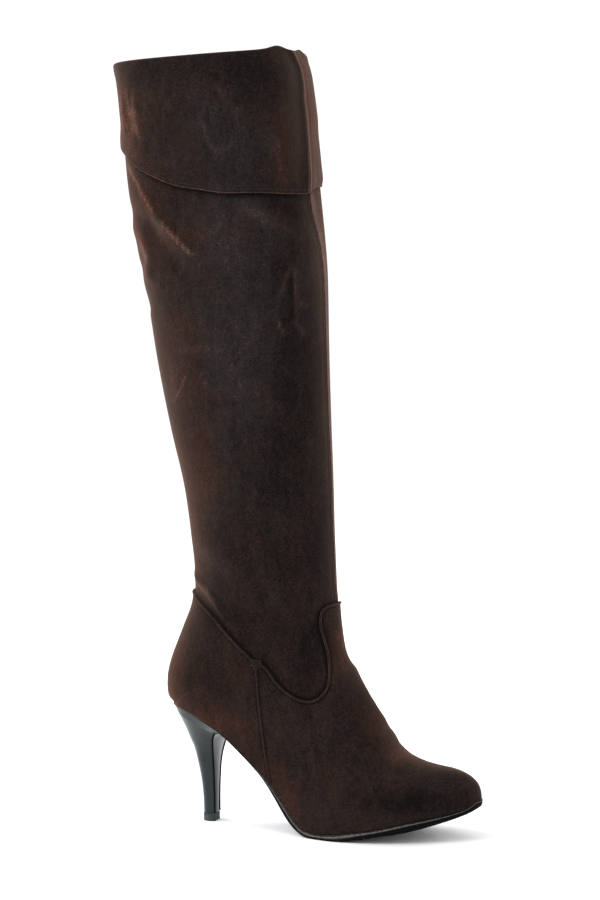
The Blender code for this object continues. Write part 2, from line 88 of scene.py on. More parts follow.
# foot_x, ridge_x, ridge_z, outer_swell, inner_swell, widest, low, top
FOOT = np.array([
    (TOE_TIP, TOE_TIP, 28.2, 0, 0, 0.30, 2, 2), (226.2, 226.2, 34.3, 0.3, 0.3, 0.30, 2, 2),
    (224, 224, 39.0, 0.6, 0.6, 0.30, 2, 2), (220, 220, 42.5, 1.0, 1.0, 0.30, 2, 2),
    (214, 214, 45.4, 1.4, 1.4, 0.30, 2, 2), (206, 206, 47.5, 1.8, 1.8, 0.30, 2, 2),
    (195.5, 195.5, 48.9, 2.0, 2.0, 0.28, 2, 2), (184, 184.5, 51.2, 2.2, 2.0, 0.26, 2, 2),
    (171, 174.1, 55.6, 2.2, 2.0, 0.24, 2, 1.9), (157, 167.0, 62.0, 2.0, 2.0, 0.22, 2, 1.8),
    (144, 163.1, 69.5, 2.0, 2.0, 0.22, 2, 1.75), (134, 160.0, 75.3, 2.0, 2.1, 0.22, 2, 1.7),
    (124, 156.5, 81.0, 2.1, 2.5, 0.24, 2, 1.7), (115.5, 153.4, 86.0, 2.4, 3.1, 0.26, 2, 1.7),
    (109, 151.0, 89.8, 2.9, 3.9, 0.28, 2, 1.7), (103.5, 148.9, 93.0, 3.4, 4.7, 0.30, 2, 1.7),
    (97.5, 146.6, 96.5, 4.0, 5.5, 0.33, 2, 1.7), (90, 144.2, 100.4, 4.7, 7.0, 0.37, 2, 1.7),
    (80, 140.9, 105.7, 5.7, 8.8, 0.41, 2, 1.7), (67, 137.0, 112.2, 7.0, 10.5, 0.45, 2.1, 1.8),
    (55, 133.4, 117.6, 7.9, 10.4, 0.48, 2.2, 1.8), (45, 130.7, 121.9, 8.0, 9.6, 0.49, 2.3, 1.85),
    (36, 128.8, 125.8, 8.0, 8.9, 0.50, 2.4, 1.9), (27.5, 127.6, 129.8, 8.8, 8.9, 0.50, 2.5, 1.9),
    (20, 126.8, 133.6, 11.0, 11.0, 0.50, 2.5, 1.9), (13.5, 126.2, 137.4, 14.8, 14.8, 0.50, 2.5, 1.9),
    (8.8, 125.7, 141.2, 19.8, 19.8, 0.50, 2.5, 1.9), (5.4, 125.2, 145.0, 26.0, 26.0, 0.50, 2.4, 1.9),
])

# %% Table of the leg
# back_x, back_z, front_x, front_z, half_width, widest, low, top
LEG = np.array([
    (HEEL_BACK, 86.4, 124.7, 148.5, 34.4, 0.50, 2.3, 2.0),
    (0.6, 88.8, 124.3, 152.5, 34.8, 0.50, 2.3, 2.0), (-0.7, 97, 124.0, 156.5, 35.2, 0.50, 2.2, 2.0),
    (0.2, 107, 123.6, 160.5, 35.7, 0.50, 2.2, 2.0), (3.5, 119, 123.2, 165.0, 36.3, 0.50, 2.1, 2.0),
    (11.0, 138, 122.4, 171.5, 37.2, 0.50, 2.0, 2.0), (18.5, 158, 121.8, 180.5, 37.8, 0.50, 2.0, 2.0),
    (19.2, 180, 121.2, 193, 38.2, 0.50, 2.0, 2.0), (16.7, 205, 120.3, 213, 39.0, 0.50, 2.0, 2.0),
    (11.6, 240, 119.1, 250, 41.0, 0.50, 2.0, 2.0), (2.5, 280, 117.0, 290, 44.0, 0.50, 2.1, 2.1),
    (-6.8, 325, 115.4, 335, 47.0, 0.50, 2.1, 2.1), (-12.9, 365, 114.1, 375, 49.2, 0.50, 2.2, 2.2),
    (-17.2, 387, 112.7, 398, 50.0, 0.50, 2.3, 2.3), (-22.2, 417, 109.5, 427, 51.0, 0.50, 2.4, 2.4),
    (-26.6, 453, 104.6, 463, 51.9, 0.50, 2.6, 2.6), (-29.4, 498, 98.7, 508, 52.5, 0.50, 2.8, 2.8),
    (-33.5, 532, 93.4, 540, 52.5, 0.50, 2.8, 2.8),
])
HEEL_ROW = len(FOOT)
TOP_ROW = HEEL_ROW + len(LEG) - 1
print(HEEL_ROW, "sections of the foot and", len(LEG), "of the leg")

# %% [markdown]
# Between the rows a smooth curve is needed. A cubic Hermite curve is the usual choice: it passes
# through every row, and its slope there comes from the two neighbouring rows, so it never needs to
# be solved for. The outline's two ends are round, so it is read against an angle instead of a
# length: near the ends the angle runs quickly while the length hardly moves.

# %% Curves through the tables
def smooth(at, places, values):
    """A smooth curve through a table's points, each with the slope of its two neighbours."""
    at = np.asarray(at, float)
    places = np.asarray(places, float)
    flat = values.reshape(len(values), -1)
    gaps = np.diff(places)[:, None]
    slopes = np.diff(flat, axis=0) / gaps
    inner = (slopes[:-1] * gaps[1:] + slopes[1:] * gaps[:-1]) / (gaps[:-1] + gaps[1:])
    bends = np.concatenate([[2 * slopes[0] - inner[0]], inner, [2 * slopes[-1] - inner[-1]]])
    i = np.clip(np.searchsorted(places, at.ravel(), side="right") - 1, 0, len(places) - 2)
    t = ((at.ravel() - places[i]) / gaps[i, 0])[:, None]
    rest = 1 - t
    level = flat[i] * (1 + 2 * t) * rest**2 + flat[i + 1] * t**2 * (3 - 2 * t)
    level = level + gaps[i] * (bends[i] * t * rest**2 - bends[i + 1] * t**2 * rest)
    return level.reshape(at.shape + values.shape[1:])


def turn(x):
    """The angle that makes the outline's two ends round when it is read against it."""
    share = (np.asarray(x, float) - HEEL_BACK) / (TOE_TIP - HEEL_BACK)
    return np.arccos(np.clip(1 - 2 * share, -1, 1))


def outline(x):
    """Middle line and the two half widths of the upper's outline at station x."""
    return smooth(turn(x), turn(OUTLINE[:, 0]), OUTLINE[:, 1:])


def feather(x):
    """Height of the line where upper and sole meet at station x."""
    return smooth(np.clip(x, HEEL_BACK, TOE_TIP), FEATHER[:, 0], FEATHER[:, 1])


print("width of the ball:", np.round(outline(146)[1:].sum(), 1), "mm")

# %% [markdown]
# Folds, seams, brushed marks and shadows all begin and end softly. Four small curves are enough for
# every one of them: two straight ramps, a share that starts and ends gently, and a round hump. And
# a direction is always kept one unit long, so that it can be multiplied by millimetres.

# %% Ramps and humps
def rising(values, start, length):
    """Runs from 0 to 1 over a length that begins at start."""
    return np.clip((values - start) / length, 0, 1)


def falling(values, end, length):
    """Runs from 1 to 0 over a length that stops at end."""
    return np.clip((end - values) / length, 0, 1)


def eased(share):
    """The same share, but starting and ending gently."""
    return share**2 * (3 - 2 * share)


def hump(values, middle, width):
    """A round hump: 1 in the middle, and almost nothing two widths away."""
    return np.exp(-(((values - middle) / width) ** 2))


def unit(ways):
    """The same directions, each one unit long."""
    return ways / np.linalg.norm(ways, axis=-1, keepdims=True)


print("a hump one width away:", np.round(hump(1, 0, 1), 2))

# %% [markdown]
# One section is two rounded quarters on each side, a low one and a high one, joined where the boot
# is widest. Points are shared out evenly along it, so that the faces stay regular. The place on a
# section is a share: 0 at the outer edge of the sole or at the back of the leg, a half at the front,
# and 1 back at the start on the inner side.

# %% Sections of the upper
QUARTER = np.linspace(0, np.pi / 2, 140)


def half_section(end, width, widest, low, top):
    """One side of a section, from its lower end to the ridge: how far up and how far out."""
    under = np.cos(QUARTER) ** (2 / low)
    kept = 1 - (end / max(width, 1e-9)) ** low
    over = np.sin(QUARTER) ** (2 / top)
    up = np.append(widest * (1 - under), widest + (1 - widest) * over[1:])
    low_out = (1 - kept * under**low) ** (1 / low)
    top_out = np.cos(QUARTER[1:]) ** (2 / max(top, 2))
    return up, width * np.append(low_out, top_out)


foot_shapes = FOOT[:, 1:].copy()
foot_shapes[:, 2:4] += outline(FOOT[:, 0])[:, 1:]
SHAPES = np.concatenate([foot_shapes, LEG[:, [2, 3, 4, 4, 5, 6, 7]]])


def section(row, shares):
    """Points of one section at the given shares of the way round."""
    ridge_x, ridge_z, *widths, widest, low, top = smooth(row, np.arange(len(SHAPES)), SHAPES)
    if row < HEEL_ROW:
        low_x = smooth(row, np.arange(HEEL_ROW + 1), np.append(FOOT[:, 0], HEEL_BACK))
        low_x = np.clip(low_x, HEEL_BACK, TOE_TIP)
        middle, *ends = outline(low_x)
        low_z = feather(low_x)
    else:
        low_x, low_z = smooth(row - HEEL_ROW, np.arange(len(LEG)), LEG[:, :2])
        middle = 0
        ends = [0, 0]
    height = np.hypot(ridge_x - low_x, ridge_z - low_z)
    found = np.zeros((len(shares), 3))
    for end, width, side in zip(ends, widths, (-1, 1)):
        end = max(end, 0)
        up, out = half_section(end, max(width, end), widest, low, top)
        walked = np.append(0, np.cumsum(np.hypot(np.diff(up) * height, np.diff(out))))
        mine = shares <= 0.5 if side < 0 else shares > 0.5
        way = np.where(shares <= 0.5, shares, 1 - shares)[mine] * 2 * walked[-1]
        rise = np.interp(way, walked, up)
        found[mine, 0] = low_x + (ridge_x - low_x) * rise
        found[mine, 1] = middle + side * np.interp(way, walked, out)
        found[mine, 2] = low_z + (ridge_z - low_z) * rise
    return found


def once_round(row):
    """One section as a fine line, and its length."""
    line = section(row, np.linspace(0, 1, 201))
    return line, np.linalg.norm(np.diff(line, axis=0), axis=1).sum()


print("girth at the collar:", round(once_round(TOP_ROW)[1]), "mm")

# %% [markdown]
# A surface is many sections side by side. Its outward direction at a point is the cross product of
# the two ways along it. At the sole's edge that direction is kept level, so that every layer laid
# over the upper ends at the same height. The foot's rows and the leg's meet in a faint ridge, which
# is softened, except at the corner of the heel, where the boot really bends.

# %% The upper's surface
def soften(points, shares, row, reach=6, passes=25):
    """Takes out the ridge at a row, by moving points towards the middle of their neighbours."""
    near = hump(np.arange(len(points)), row, reach)[1:-1, None, None]
    away = rising(np.minimum(shares, 1 - shares), 0.02, 0.1)[1:-1, :, None]
    for _ in range(passes):
        between = (points[:-2] + points[2:]) / 2
        points[1:-1] += 0.5 * near * away * (between - points[1:-1])


def form(rows, shares):
    """Points of the upper's outer face by row and share, and their outward directions."""
    shares = np.broadcast_to(shares, (len(rows), np.shape(shares)[-1]))
    points = np.array([section(row, mine) for row, mine in zip(rows, shares)])
    if HEEL_ROW in rows:
        soften(points, shares, np.searchsorted(rows, HEEL_ROW))
    along = np.gradient(points, axis=0)
    across = np.gradient(points, axis=1)
    closed = rows >= HEEL_ROW
    wrapped = points[closed, 1] - points[closed, -2]
    across[closed, 0] = wrapped
    across[closed, -1] = wrapped
    outward = np.cross(across, along)
    outward[rows == 0] = (1, 0, 0)
    outward = unit(outward)
    for column in (0, -1):
        outward[rows <= HEEL_ROW, column] = unit(outward[rows <= HEEL_ROW, column] * (1, 1, 0))
    return points, outward


def rows_between(first, last, step):
    """Row numbers from first to last, so close that the surface moves about a step each time."""
    rows = np.arange(first, last + 0.01, 0.25)
    rows = rows[rows <= last]
    line = np.array([section(row, np.array([0.0, 0.25, 0.5])) for row in rows])
    moved = np.linalg.norm(np.diff(line, axis=0), axis=2).max(axis=1)
    walked = np.append(0, np.cumsum(moved))
    return np.interp(np.linspace(0, walked[-1], int(walked[-1] / step) + 1), walked, rows)


def set_on_sole(skin, rows, under=0.0):
    """Puts the foot's lower edges at the height where upper and sole meet, or so far under it."""
    on_sole = rows <= HEEL_ROW
    under = np.broadcast_to(under, skin.shape[:2])
    for column in (0, -1):
        skin[on_sole, column, 2] = feather(skin[on_sole, column, 0]) - under[on_sole, column]


print("rows of the foot, 10 mm apart:", len(rows_between(0, HEEL_ROW, 10)))

# %% [markdown]
# Every piece is made as points and faces in the boot's millimetres and then turned into an object.
# Doing that in one place keeps the rules together: coincident points are joined, the surface is
# shaded smooth, and the piece rides on the boot's body and stands in for its solids.

# %% Turn points and faces into a piece
TOUCHING = 0.002  # points that are closer than this, in millimetres, become one


def make_piece(name, points, faces, finish, slot, *solids, marks=None, sharp=50):
    """An object from points in the boot's millimetres, smooth except where it bends sharply."""
    mesh = bpy.data.meshes.new(name)
    mesh.from_pydata(((np.asarray(points) + ORIGIN) * MM).tolist(), [], faces)
    for mark, values in (marks or {}).items():
        mesh.attributes.new(mark, "FLOAT", "POINT").data.foreach_set("value", values.ravel())
    work = bmesh.new()
    work.from_mesh(mesh)
    bmesh.ops.remove_doubles(work, verts=work.verts, dist=TOUCHING * MM)
    work.to_mesh(mesh)
    work.free()
    mesh.shade_smooth()
    mesh.set_sharp_from_angle(angle=np.radians(sharp))
    mesh.materials.append(finish)
    piece = bpy.data.objects.new(name, mesh)
    bpy.context.scene.collection.objects.link(piece)
    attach(piece, "root")
    if solids:
        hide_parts(*solids)
    print(name, "has", len(mesh.polygons), "faces")
    return piece

# %% Faces between rows of points, and a skin's thickness
def grid_faces(rows, columns, around=False, along=False):
    """The faces between rows and columns of points, closed around or along where asked."""
    faces = []
    for i in range(rows if along else rows - 1):
        here, above = i * columns, (i + 1) % rows * columns
        for j in range(columns if around else columns - 1):
            k = (j + 1) % columns
            faces.append((here + j, here + k, above + k, above + j))
    return faces


def closed_form(rings, flipped=False):
    """Points and faces of a closed form through rings of points, with a face over both ends."""
    rings = np.array(rings)
    count = rings.shape[1]
    numbers = range(len(rings) * count)
    faces = grid_faces(len(rings), count, around=True)
    faces += [tuple(numbers[:count][::-1]), tuple(numbers[-count:])]
    if flipped:
        faces = [face[::-1] for face in faces]
    return rings.reshape(-1, 3), faces


def thicken(piece, thickness, inner=None):
    """Gives a skin its thickness, inward from its outer face, with its own finish on the inside."""
    solid = piece.modifiers.new("thickness", "SOLIDIFY")
    solid.thickness = thickness * MM
    solid.offset = -1
    if inner:
        piece.data.materials.append(inner)
        solid.material_offset = 1


print("faces of a closed form with 4 rings of 6 points:", len(closed_form(np.zeros((4, 6, 3)))[1]))

# %% [markdown]
# ## Finishes
# A material is a small program made of nodes. Written by hand in Python it becomes long and hard to
# read, so one class wraps a socket and gives it Python's own operators: an expression then adds the
# Math nodes itself, and one method adds any other node.

# %% Sockets that can be calculated with
class Shade:
    """A socket in a material, ready for expressions."""

    def __init__(self, tree, socket=None):
        self.tree = tree
        self.socket = socket

    def node(self, kind, settings, sockets, out=0):
        """Adds a node: its settings first, and then the values or links of its sockets."""
        made = self.tree.nodes.new("ShaderNode" + kind)
        for name, value in settings.items():
            setattr(made, name, value)
        for name, value in sockets.items():
            if isinstance(value, Shade):
                self.tree.links.new(value.socket, made.inputs[name])
            else:
                made.inputs[name].default_value = value
        return Shade(self.tree, made.outputs[out])

    def math(self, operation, first, second=0.0):
        return self.node("Math", {"operation": operation}, {0: first, 1: second})

    def __add__(self, other):
        return self.math("ADD", self, other)

    def __sub__(self, other):
        return self.math("SUBTRACT", self, other)

    def __rsub__(self, other):
        return self.math("SUBTRACT", other, self)

    def __mul__(self, other):
        return self.math("MULTIPLY", self, other)

    def __truediv__(self, other):
        return self.math("DIVIDE", self, other)

    __radd__ = __add__
    __rmul__ = __mul__

    def between(self, low, high, start=0.0, end=1.0):
        """Runs softly from start to end while this value goes from low to high."""
        return self.node("MapRange", {"interpolation_type": "SMOOTHSTEP"}, {
            "Value": self, "From Min": low, "From Max": high, "To Min": start, "To Max": end,
        })

    def mix(self, first, second):
        """A colour between two, with this value as the share of the second."""
        return self.node("Mix", {"data_type": "RGBA"}, {0: self, 6: first, 7: second}, out=2)

    def stretch(self, x, y, z):
        """This place with each axis multiplied by its own number."""
        return self.node("VectorMath", {"operation": "MULTIPLY"}, {0: self, 1: (x, y, z)})

    def noise(self, scale, detail=2.0, roughness=0.5):
        """Cloudy noise at this place, with so many clouds in a millimetre."""
        return self.node("TexNoise", {}, {
            "Vector": self, "Scale": scale, "Detail": detail, "Roughness": roughness,
        })


def linear(red, green, blue):
    """A colour for a shader, from the 0 to 255 of an ordinary colour chart."""
    chart = np.array([red, green, blue]) / 255
    light = np.where(chart <= 0.04045, chart / 12.92, ((chart + 0.055) / 1.055) ** 2.4)
    return (*light.tolist(), 1.0)


print("dark suede:", np.round(linear(38, 31, 29)[:3], 4))

# %% [markdown]
# A finish starts with its name, the constants of its shader, and the place on the boot in
# millimetres. Constants go straight on the shader's sockets, and only what changes over the surface
# is linked.

# %% Start and link a finish
def start_finish(name, **constants):
    """A new material, its shader, and the place on its surface in millimetres."""
    made = bpy.data.materials.new(name)
    made.use_nodes = True
    tree = made.node_tree
    shader = tree.nodes["Principled BSDF"]
    for socket, value in constants.items():
        shader.inputs[socket.replace("_", " ")].default_value = value
    place = Shade(tree).node("TexCoord", {}, {}, out="Object")
    print("finish:", name)
    return made, shader, place.stretch(1 / MM, 1 / MM, 1 / MM)


def link(shader, **linked):
    """Links what changes over the surface to the shader's sockets."""
    for socket, value in linked.items():
        value.tree.links.new(value.socket, shader.inputs[socket.replace("_", " ")])


def bump(height, distance, strength=1.0):
    """A normal that is tilted by the slopes of a height from 0 to 1 that stands so many mm high."""
    sockets = {"Height": height, "Distance": distance * MM, "Strength": strength}
    return height.node("Bump", {}, sockets)


print("a millimetre is", MM, "of the scene's units")

# %% [markdown]
# Brushed suede is a field of short fibres. Where they lie towards the light they look lighter, and
# where a finger has pushed them the other way they look darker, so the colour is cloudy in patches
# of about a centimetre, mottled in patches of a few millimetres, and finely grained. The dye is
# uneven too, here a cool brown and there a reddish one, which turns tan where the nap is light.
# Seen at a shallow angle the fibres' ends catch the light, which is what the shader's sheen is for.
# Marks listed in tables come from the mesh as two values: one that makes the suede lighter or darker,
# which is partly brushed nap and partly painted highlights and painted shade, and warmth, which makes
# it redder or greyer. So they can follow the folds.

# %% Brushed suede
LEVEL_ZERO = 1.54  # the sum of the nap's noises that counts as level 0, a dark middle tone


def make_suede(name, dark, cool, warm, light, tan, sheen_tint, lighter=0.0):
    """Brushed suede from nearly black over a cool or reddish brown to a light brown or a tan."""
    made, shader, place = start_finish(
        name, Sheen_Weight=0.31, Sheen_Roughness=0.4, Sheen_Tint=sheen_tint,
        Specular_IOR_Level=0.08,
    )
    clouds = place.noise(0.022, 4.0, 0.55)
    patches = place.stretch(1, 1, 0.4).noise(0.13, 4.0, 0.62)
    mottle = place.stretch(1, 1, 0.6).noise(0.32, 3.0, 0.6)
    fibres = place.noise(0.9, 3.0, 0.8)
    dust = place.noise(1.6, 2.0, 0.6).between(0.56, 0.72)
    dye = place.noise(0.05, 2.0, 0.5)
    # this mark is brushed nap together with painted highlights and painted shade
    nap_and_painted_light = place.node("Attribute", {"attribute_name": "nap_and_light"}, {}, out="Fac")
    reddened = place.node("Attribute", {"attribute_name": "warmth"}, {}, out="Fac")
    level = clouds * 0.5 + patches * 0.5 + mottle * 0.55 + fibres * 1.7 + dust * 0.1
    level = level + nap_and_painted_light + (lighter - LEVEL_ZERO)
    middle = (dye * 1.5 + reddened - 0.32).mix(cool, warm)
    neutral = (level / 0.65 + 0.31).mix(dark, middle)
    lit = (reddened * 1.1 + 0.1).mix(light, tan)
    colour = ((level - 0.42) / 0.65).mix(neutral, lit)
    roughness = fibres.between(0.2, 0.8, 0.86, 1.0)
    height = fibres * 0.8 + place.noise(2.2, 2.0) * 0.4
    link(shader, Base_Color=colour, Roughness=roughness, Normal=bump(height, 0.25, 0.8))
    return made


suede = make_suede(
    "brushed_suede", linear(7, 6, 6), linear(38, 32, 32), linear(49, 29, 22), linear(86, 70, 64),
    linear(106, 66, 50), (0.62, 0.35, 0.25, 1),
)
edge_suede = make_suede(
    "turned_edge", linear(8, 7, 7), linear(39, 32, 31), linear(54, 33, 25), linear(94, 71, 64),
    linear(106, 70, 55), (0.62, 0.36, 0.28, 1), 0.16,
)
print("the suede's middle tone:", np.round(linear(38, 32, 32)[:3], 4))

# %% [markdown]
# The lining is a thin knitted cloth bonded to the back of the suede. Its loops are far smaller than
# a millimetre, so a fine woven bump is enough, with a slightly uneven brown.

# %% Lining cloth
def make_lining():
    made, shader, place = start_finish("lining_cloth", Sheen_Weight=0.2, Specular_IOR_Level=0.2)
    rows = place.node("TexWave", {"bands_direction": "Z"}, {
        "Vector": place, "Scale": 0.55, "Distortion": 1.5, "Detail": 1.0, "Detail Scale": 2.0,
    }, out="Fac")
    cloud = place.noise(0.08, 3.0)
    colour = (cloud * 0.7 + rows * 0.3).mix(linear(92, 70, 58), linear(134, 106, 88))
    link(shader, Base_Color=colour, Roughness=cloud.between(0.3, 0.7, 0.8, 0.95),
         Normal=bump(rows, 0.1, 0.6))
    return made


lining = make_lining()

# %% [markdown]
# The sole is a moulded black rubber with a faint stipple. Its edge was roughened for the glue down to
# a line half way, so above that line it is dusty, along the line a light grey painted highlight is
# laid, and below it the rubber is black. The mesh carries this as one mark: a third in the dust,
# nearly 1 on the painted highlight, and 0 below it. The heel's pad is a greyer rubber without that
# mark.

# %% Sole rubber
def make_rubber(name, black, scuffed):
    made, shader, place = start_finish(name, Specular_IOR_Level=0.06)
    stipple = place.noise(1.4, 3.0, 0.6)
    scuffs = place.stretch(0.35, 1, 1).noise(0.35, 4.0, 0.7)
    dust_and_highlight_mark = place.node("Attribute", {"attribute_name": "dust_and_highlight_mark"}, {}, out="Fac")
    speck = place.noise(0.8, 3.0, 0.75).between(0.42, 0.62)
    base = scuffs.between(0.45, 0.8).mix(black, scuffed)
    dusty = (dust_and_highlight_mark * 2.6).mix(base, speck.mix(linear(26, 23, 20), linear(58, 53, 48)))
    # painted highlight: a light grey line along the sole's edge
    dust_and_highlight = ((dust_and_highlight_mark - 0.42) * (speck + 0.9)).mix(dusty, linear(112, 112, 114))
    link(shader, Base_Color=dust_and_highlight, Roughness=scuffs.between(0.3, 0.8, 0.6, 0.85),
         Normal=bump(stipple, 0.08, 0.6))
    return made


rubber = make_rubber("sole_rubber", linear(3, 3, 5), linear(13, 13, 16))
lift_rubber = make_rubber("lift_rubber", linear(52, 55, 57), linear(84, 88, 90))

# %% [markdown]
# The heel is a moulded block with a dark lacquer. It is the one glossy thing on the boot, so what
# matters is how softly it mirrors the studio: a low roughness that wanders a little, a thin clear
# coat over it, and the faint waviness that moulded plastic has. The lower part of its breast, the
# flat face towards the toe, is smoother, with hardly any coat, and its colour there is painted darker
# as painted shade. The mesh marks it as shade.

# %% Lacquered heel
def make_lacquer():
    made, shader, place = start_finish(
        "heel_lacquer", Coat_Roughness=0.08, Specular_IOR_Level=0.3,
        Specular_Tint=(0.9, 1.0, 1.03, 1),
    )
    wave = place.stretch(1, 1, 0.5).noise(0.06, 2.0)
    dust = place.noise(1.1, 3.0, 0.7)
    shade = place.node("Attribute", {"attribute_name": "shade"}, {}, out="Fac")
    # painted shade darkens the colour on the breast's lower part
    colour = (wave * 0.7 + dust * 0.3 - shade).mix(linear(8, 13, 15), linear(24, 31, 33))
    roughness = (wave * 0.6 + dust * 0.4).between(0.3, 0.8, 0.22, 0.38) * (1 - shade * 0.7)
    coat = dust.between(0.3, 0.7, 0.06, 0.16) * (1 - shade * 0.9)
    link(shader, Base_Color=colour, Roughness=roughness, Coat_Weight=coat,
         Normal=bump(wave, 0.25, 0.4))
    return made


lacquer = make_lacquer()

# %% [markdown]
# The stitches are a twisted polyester thread in the suede's own brown, a little smoother than the
# nap around it, with the twist as fine slanted bands.

# %% Thread
def make_thread():
    made, shader, place = start_finish("twisted_thread", Sheen_Weight=0.2, Specular_IOR_Level=0.1)
    twist = place.node("TexWave", {"bands_direction": "DIAGONAL"}, {
        "Vector": place, "Scale": 0.9, "Distortion": 1.0,
    }, out="Fac")
    colour = twist.mix(linear(16, 13, 12), linear(46, 36, 31))
    link(shader, Base_Color=colour, Roughness=twist.between(0, 1, 0.5, 0.75),
         Normal=bump(twist, 0.08, 0.8))
    return made


thread = make_thread()

# %% [markdown]
# ## The shaft
# Suede over an empty leg doesn't hang smooth. It sags a little above the heel and behind the knee,
# and each sag leaves a soft ridge with a trough under it. Cloth simulation would give folds, but not
# these folds in these places, so each is given one by one: a path seen from the side, a width, and a
# height, which is negative for a trough.

# %% Folds, given one by one
# side (-1 outer, 1 inner, 0 both), width, height, path of stations and heights
FOLDS = [
    (-1, 2.8, 1.8, [(-23, 470), (-9, 452), (0, 440), (7, 431), (20, 418), (33, 405.5), (40, 400)]),
    (-1, 7.0, 1.2, [(-24, 468), (-11, 452), (4, 434), (18, 418), (34, 402), (48, 388)]),
    (-1, 6.0, -1.7, [(-9, 436), (2, 423), (13, 409), (25, 397), (36, 384)]),
    (-1, 5.0, 1.6, [(-26, 424), (-15, 420), (-5, 411), (1, 400), (-3, 388), (-12, 378)]),
    (-1, 5.0, -1.1, [(-34, 438), (-22, 434), (-12, 430), (-2, 424)]),
    (-1, 5.0, -0.8, [(-24, 396), (-14, 392), (-6, 384), (2, 376)]),
    (-1, 5.0, -0.9, [(-22, 378), (-13, 370), (-6, 360)]),
    (-1, 6.0, 1.4, [(62, 443), (72, 437), (85, 429), (96, 420), (108, 411)]),
    (-1, 6.0, -1.2, [(70, 424), (84, 415), (96, 406), (106, 398)]),
    (-1, 7.0, -0.7, [(84, 443), (96, 435), (107, 427)]),
    (-1, 2.2, 1.0, [(103, 400), (99, 393), (95.5, 383), (98, 373), (94, 361), (96, 351), (101, 346)]),
    (-1, 2.2, 0.9, [(105, 398), (102, 384), (101.5, 368), (103, 356), (108, 344)]),
    (-1, 2.6, -0.35, [(102, 390), (98, 378), (98, 362), (100, 354)]),
    (-1, 3.0, 0.4, [(26, 322), (20, 309), (14, 298)]),
    (-1, 3.0, 0.4, [(14, 334), (24, 337), (40, 338), (56, 340)]),
    (-1, 9.0, 0.7, [(56, 378), (60, 365), (62, 350)]),
    (-1, 7.0, -0.5, [(74, 318), (84, 304), (92, 292)]),
    (-1, 2.4, 1.7, [(18, 181), (28, 175), (39, 168), (50, 157), (57, 148)]),
    (-1, 5.5, -1.0, [(20, 170), (30, 165), (42, 156), (54, 144)]),
    (-1, 9.0, 0.8, [(20, 214), (36, 205), (56, 192), (74, 176)]),
    (-1, 8.0, -0.7, [(22, 198), (34, 190), (52, 178), (68, 164)]),
    (0, 5.0, -0.8, [(112, 132), (122, 125), (129, 119), (134, 112)]),
    (0, 5.0, 0.6, [(118, 122), (128, 112), (136, 106)]),
    (0, 6.0, -0.6, [(128, 104), (138, 92), (150, 82), (158, 80)]),
    (0, 4.5, -0.9, [(163, 80), (157, 70), (151, 60)]),
    (0, 7.0, 0.2, [(142, 78), (152, 70), (164, 66)]),
    (0, 6.0, -0.5, [(148, 64), (158, 60), (168, 60)]),
    (1, 7.0, 1.5, [(-22, 462), (-6, 446), (12, 428), (30, 408)]),
    (1, 7.0, -1.2, [(-20, 448), (-4, 432), (12, 412), (26, 396)]),
    (1, 4.0, 1.2, [(17, 182), (30, 173), (46, 160), (60, 146)]),
    (1, 6.0, -1.0, [(18, 169), (32, 160), (46, 148), (56, 138)]),
    (1, 9.0, 0.8, [(20, 230), (40, 216), (60, 200)]),
    (1, 10.0, 0.8, [(70, 440), (86, 420), (100, 404)]),
    (1, 10.0, 0.7, [(20, 340), (36, 322), (50, 300)]),
]
print(len(FOLDS), "folds")

# %% How a fold lifts the surface
def on_side(points, side):
    """How much of a mark each point gets: all of it on the mark's side, fading over 16 mm."""
    return 1 if side == 0 else rising(side * points[..., 1], -8, 16)


def fold(points, side, width, height, path):
    """How far one soft fold lifts each point of the surface. It fades towards its path's ends."""
    path = np.array(path, float)
    lengths = np.linalg.norm(np.diff(path, axis=0), axis=1)
    place = points[..., [0, 2]]
    nearest = np.full(points.shape[:-1], np.inf)
    share = np.zeros(points.shape[:-1])
    walked = 0
    for start, way, length in zip(path, np.diff(path, axis=0), lengths):
        t = np.clip((place - start) @ way / length**2, 0, 1)
        gap = np.linalg.norm(place - start - t[..., None] * way, axis=-1)
        share = np.where(gap < nearest, (walked + t * length) / lengths.sum(), share)
        nearest = np.minimum(gap, nearest)
        walked += length
    faded = eased(rising(np.minimum(share, 1 - share), 0, 0.25))
    return height * hump(nearest, 0, width) * faded * on_side(points, side)


def folds(points):
    """How far all the folds together lift each point."""
    return sum(fold(points, *each) for each in FOLDS)


print("height on the first fold:", np.round(folds(np.array([[0.0, -40.0, 440.0]])), 2), "mm")
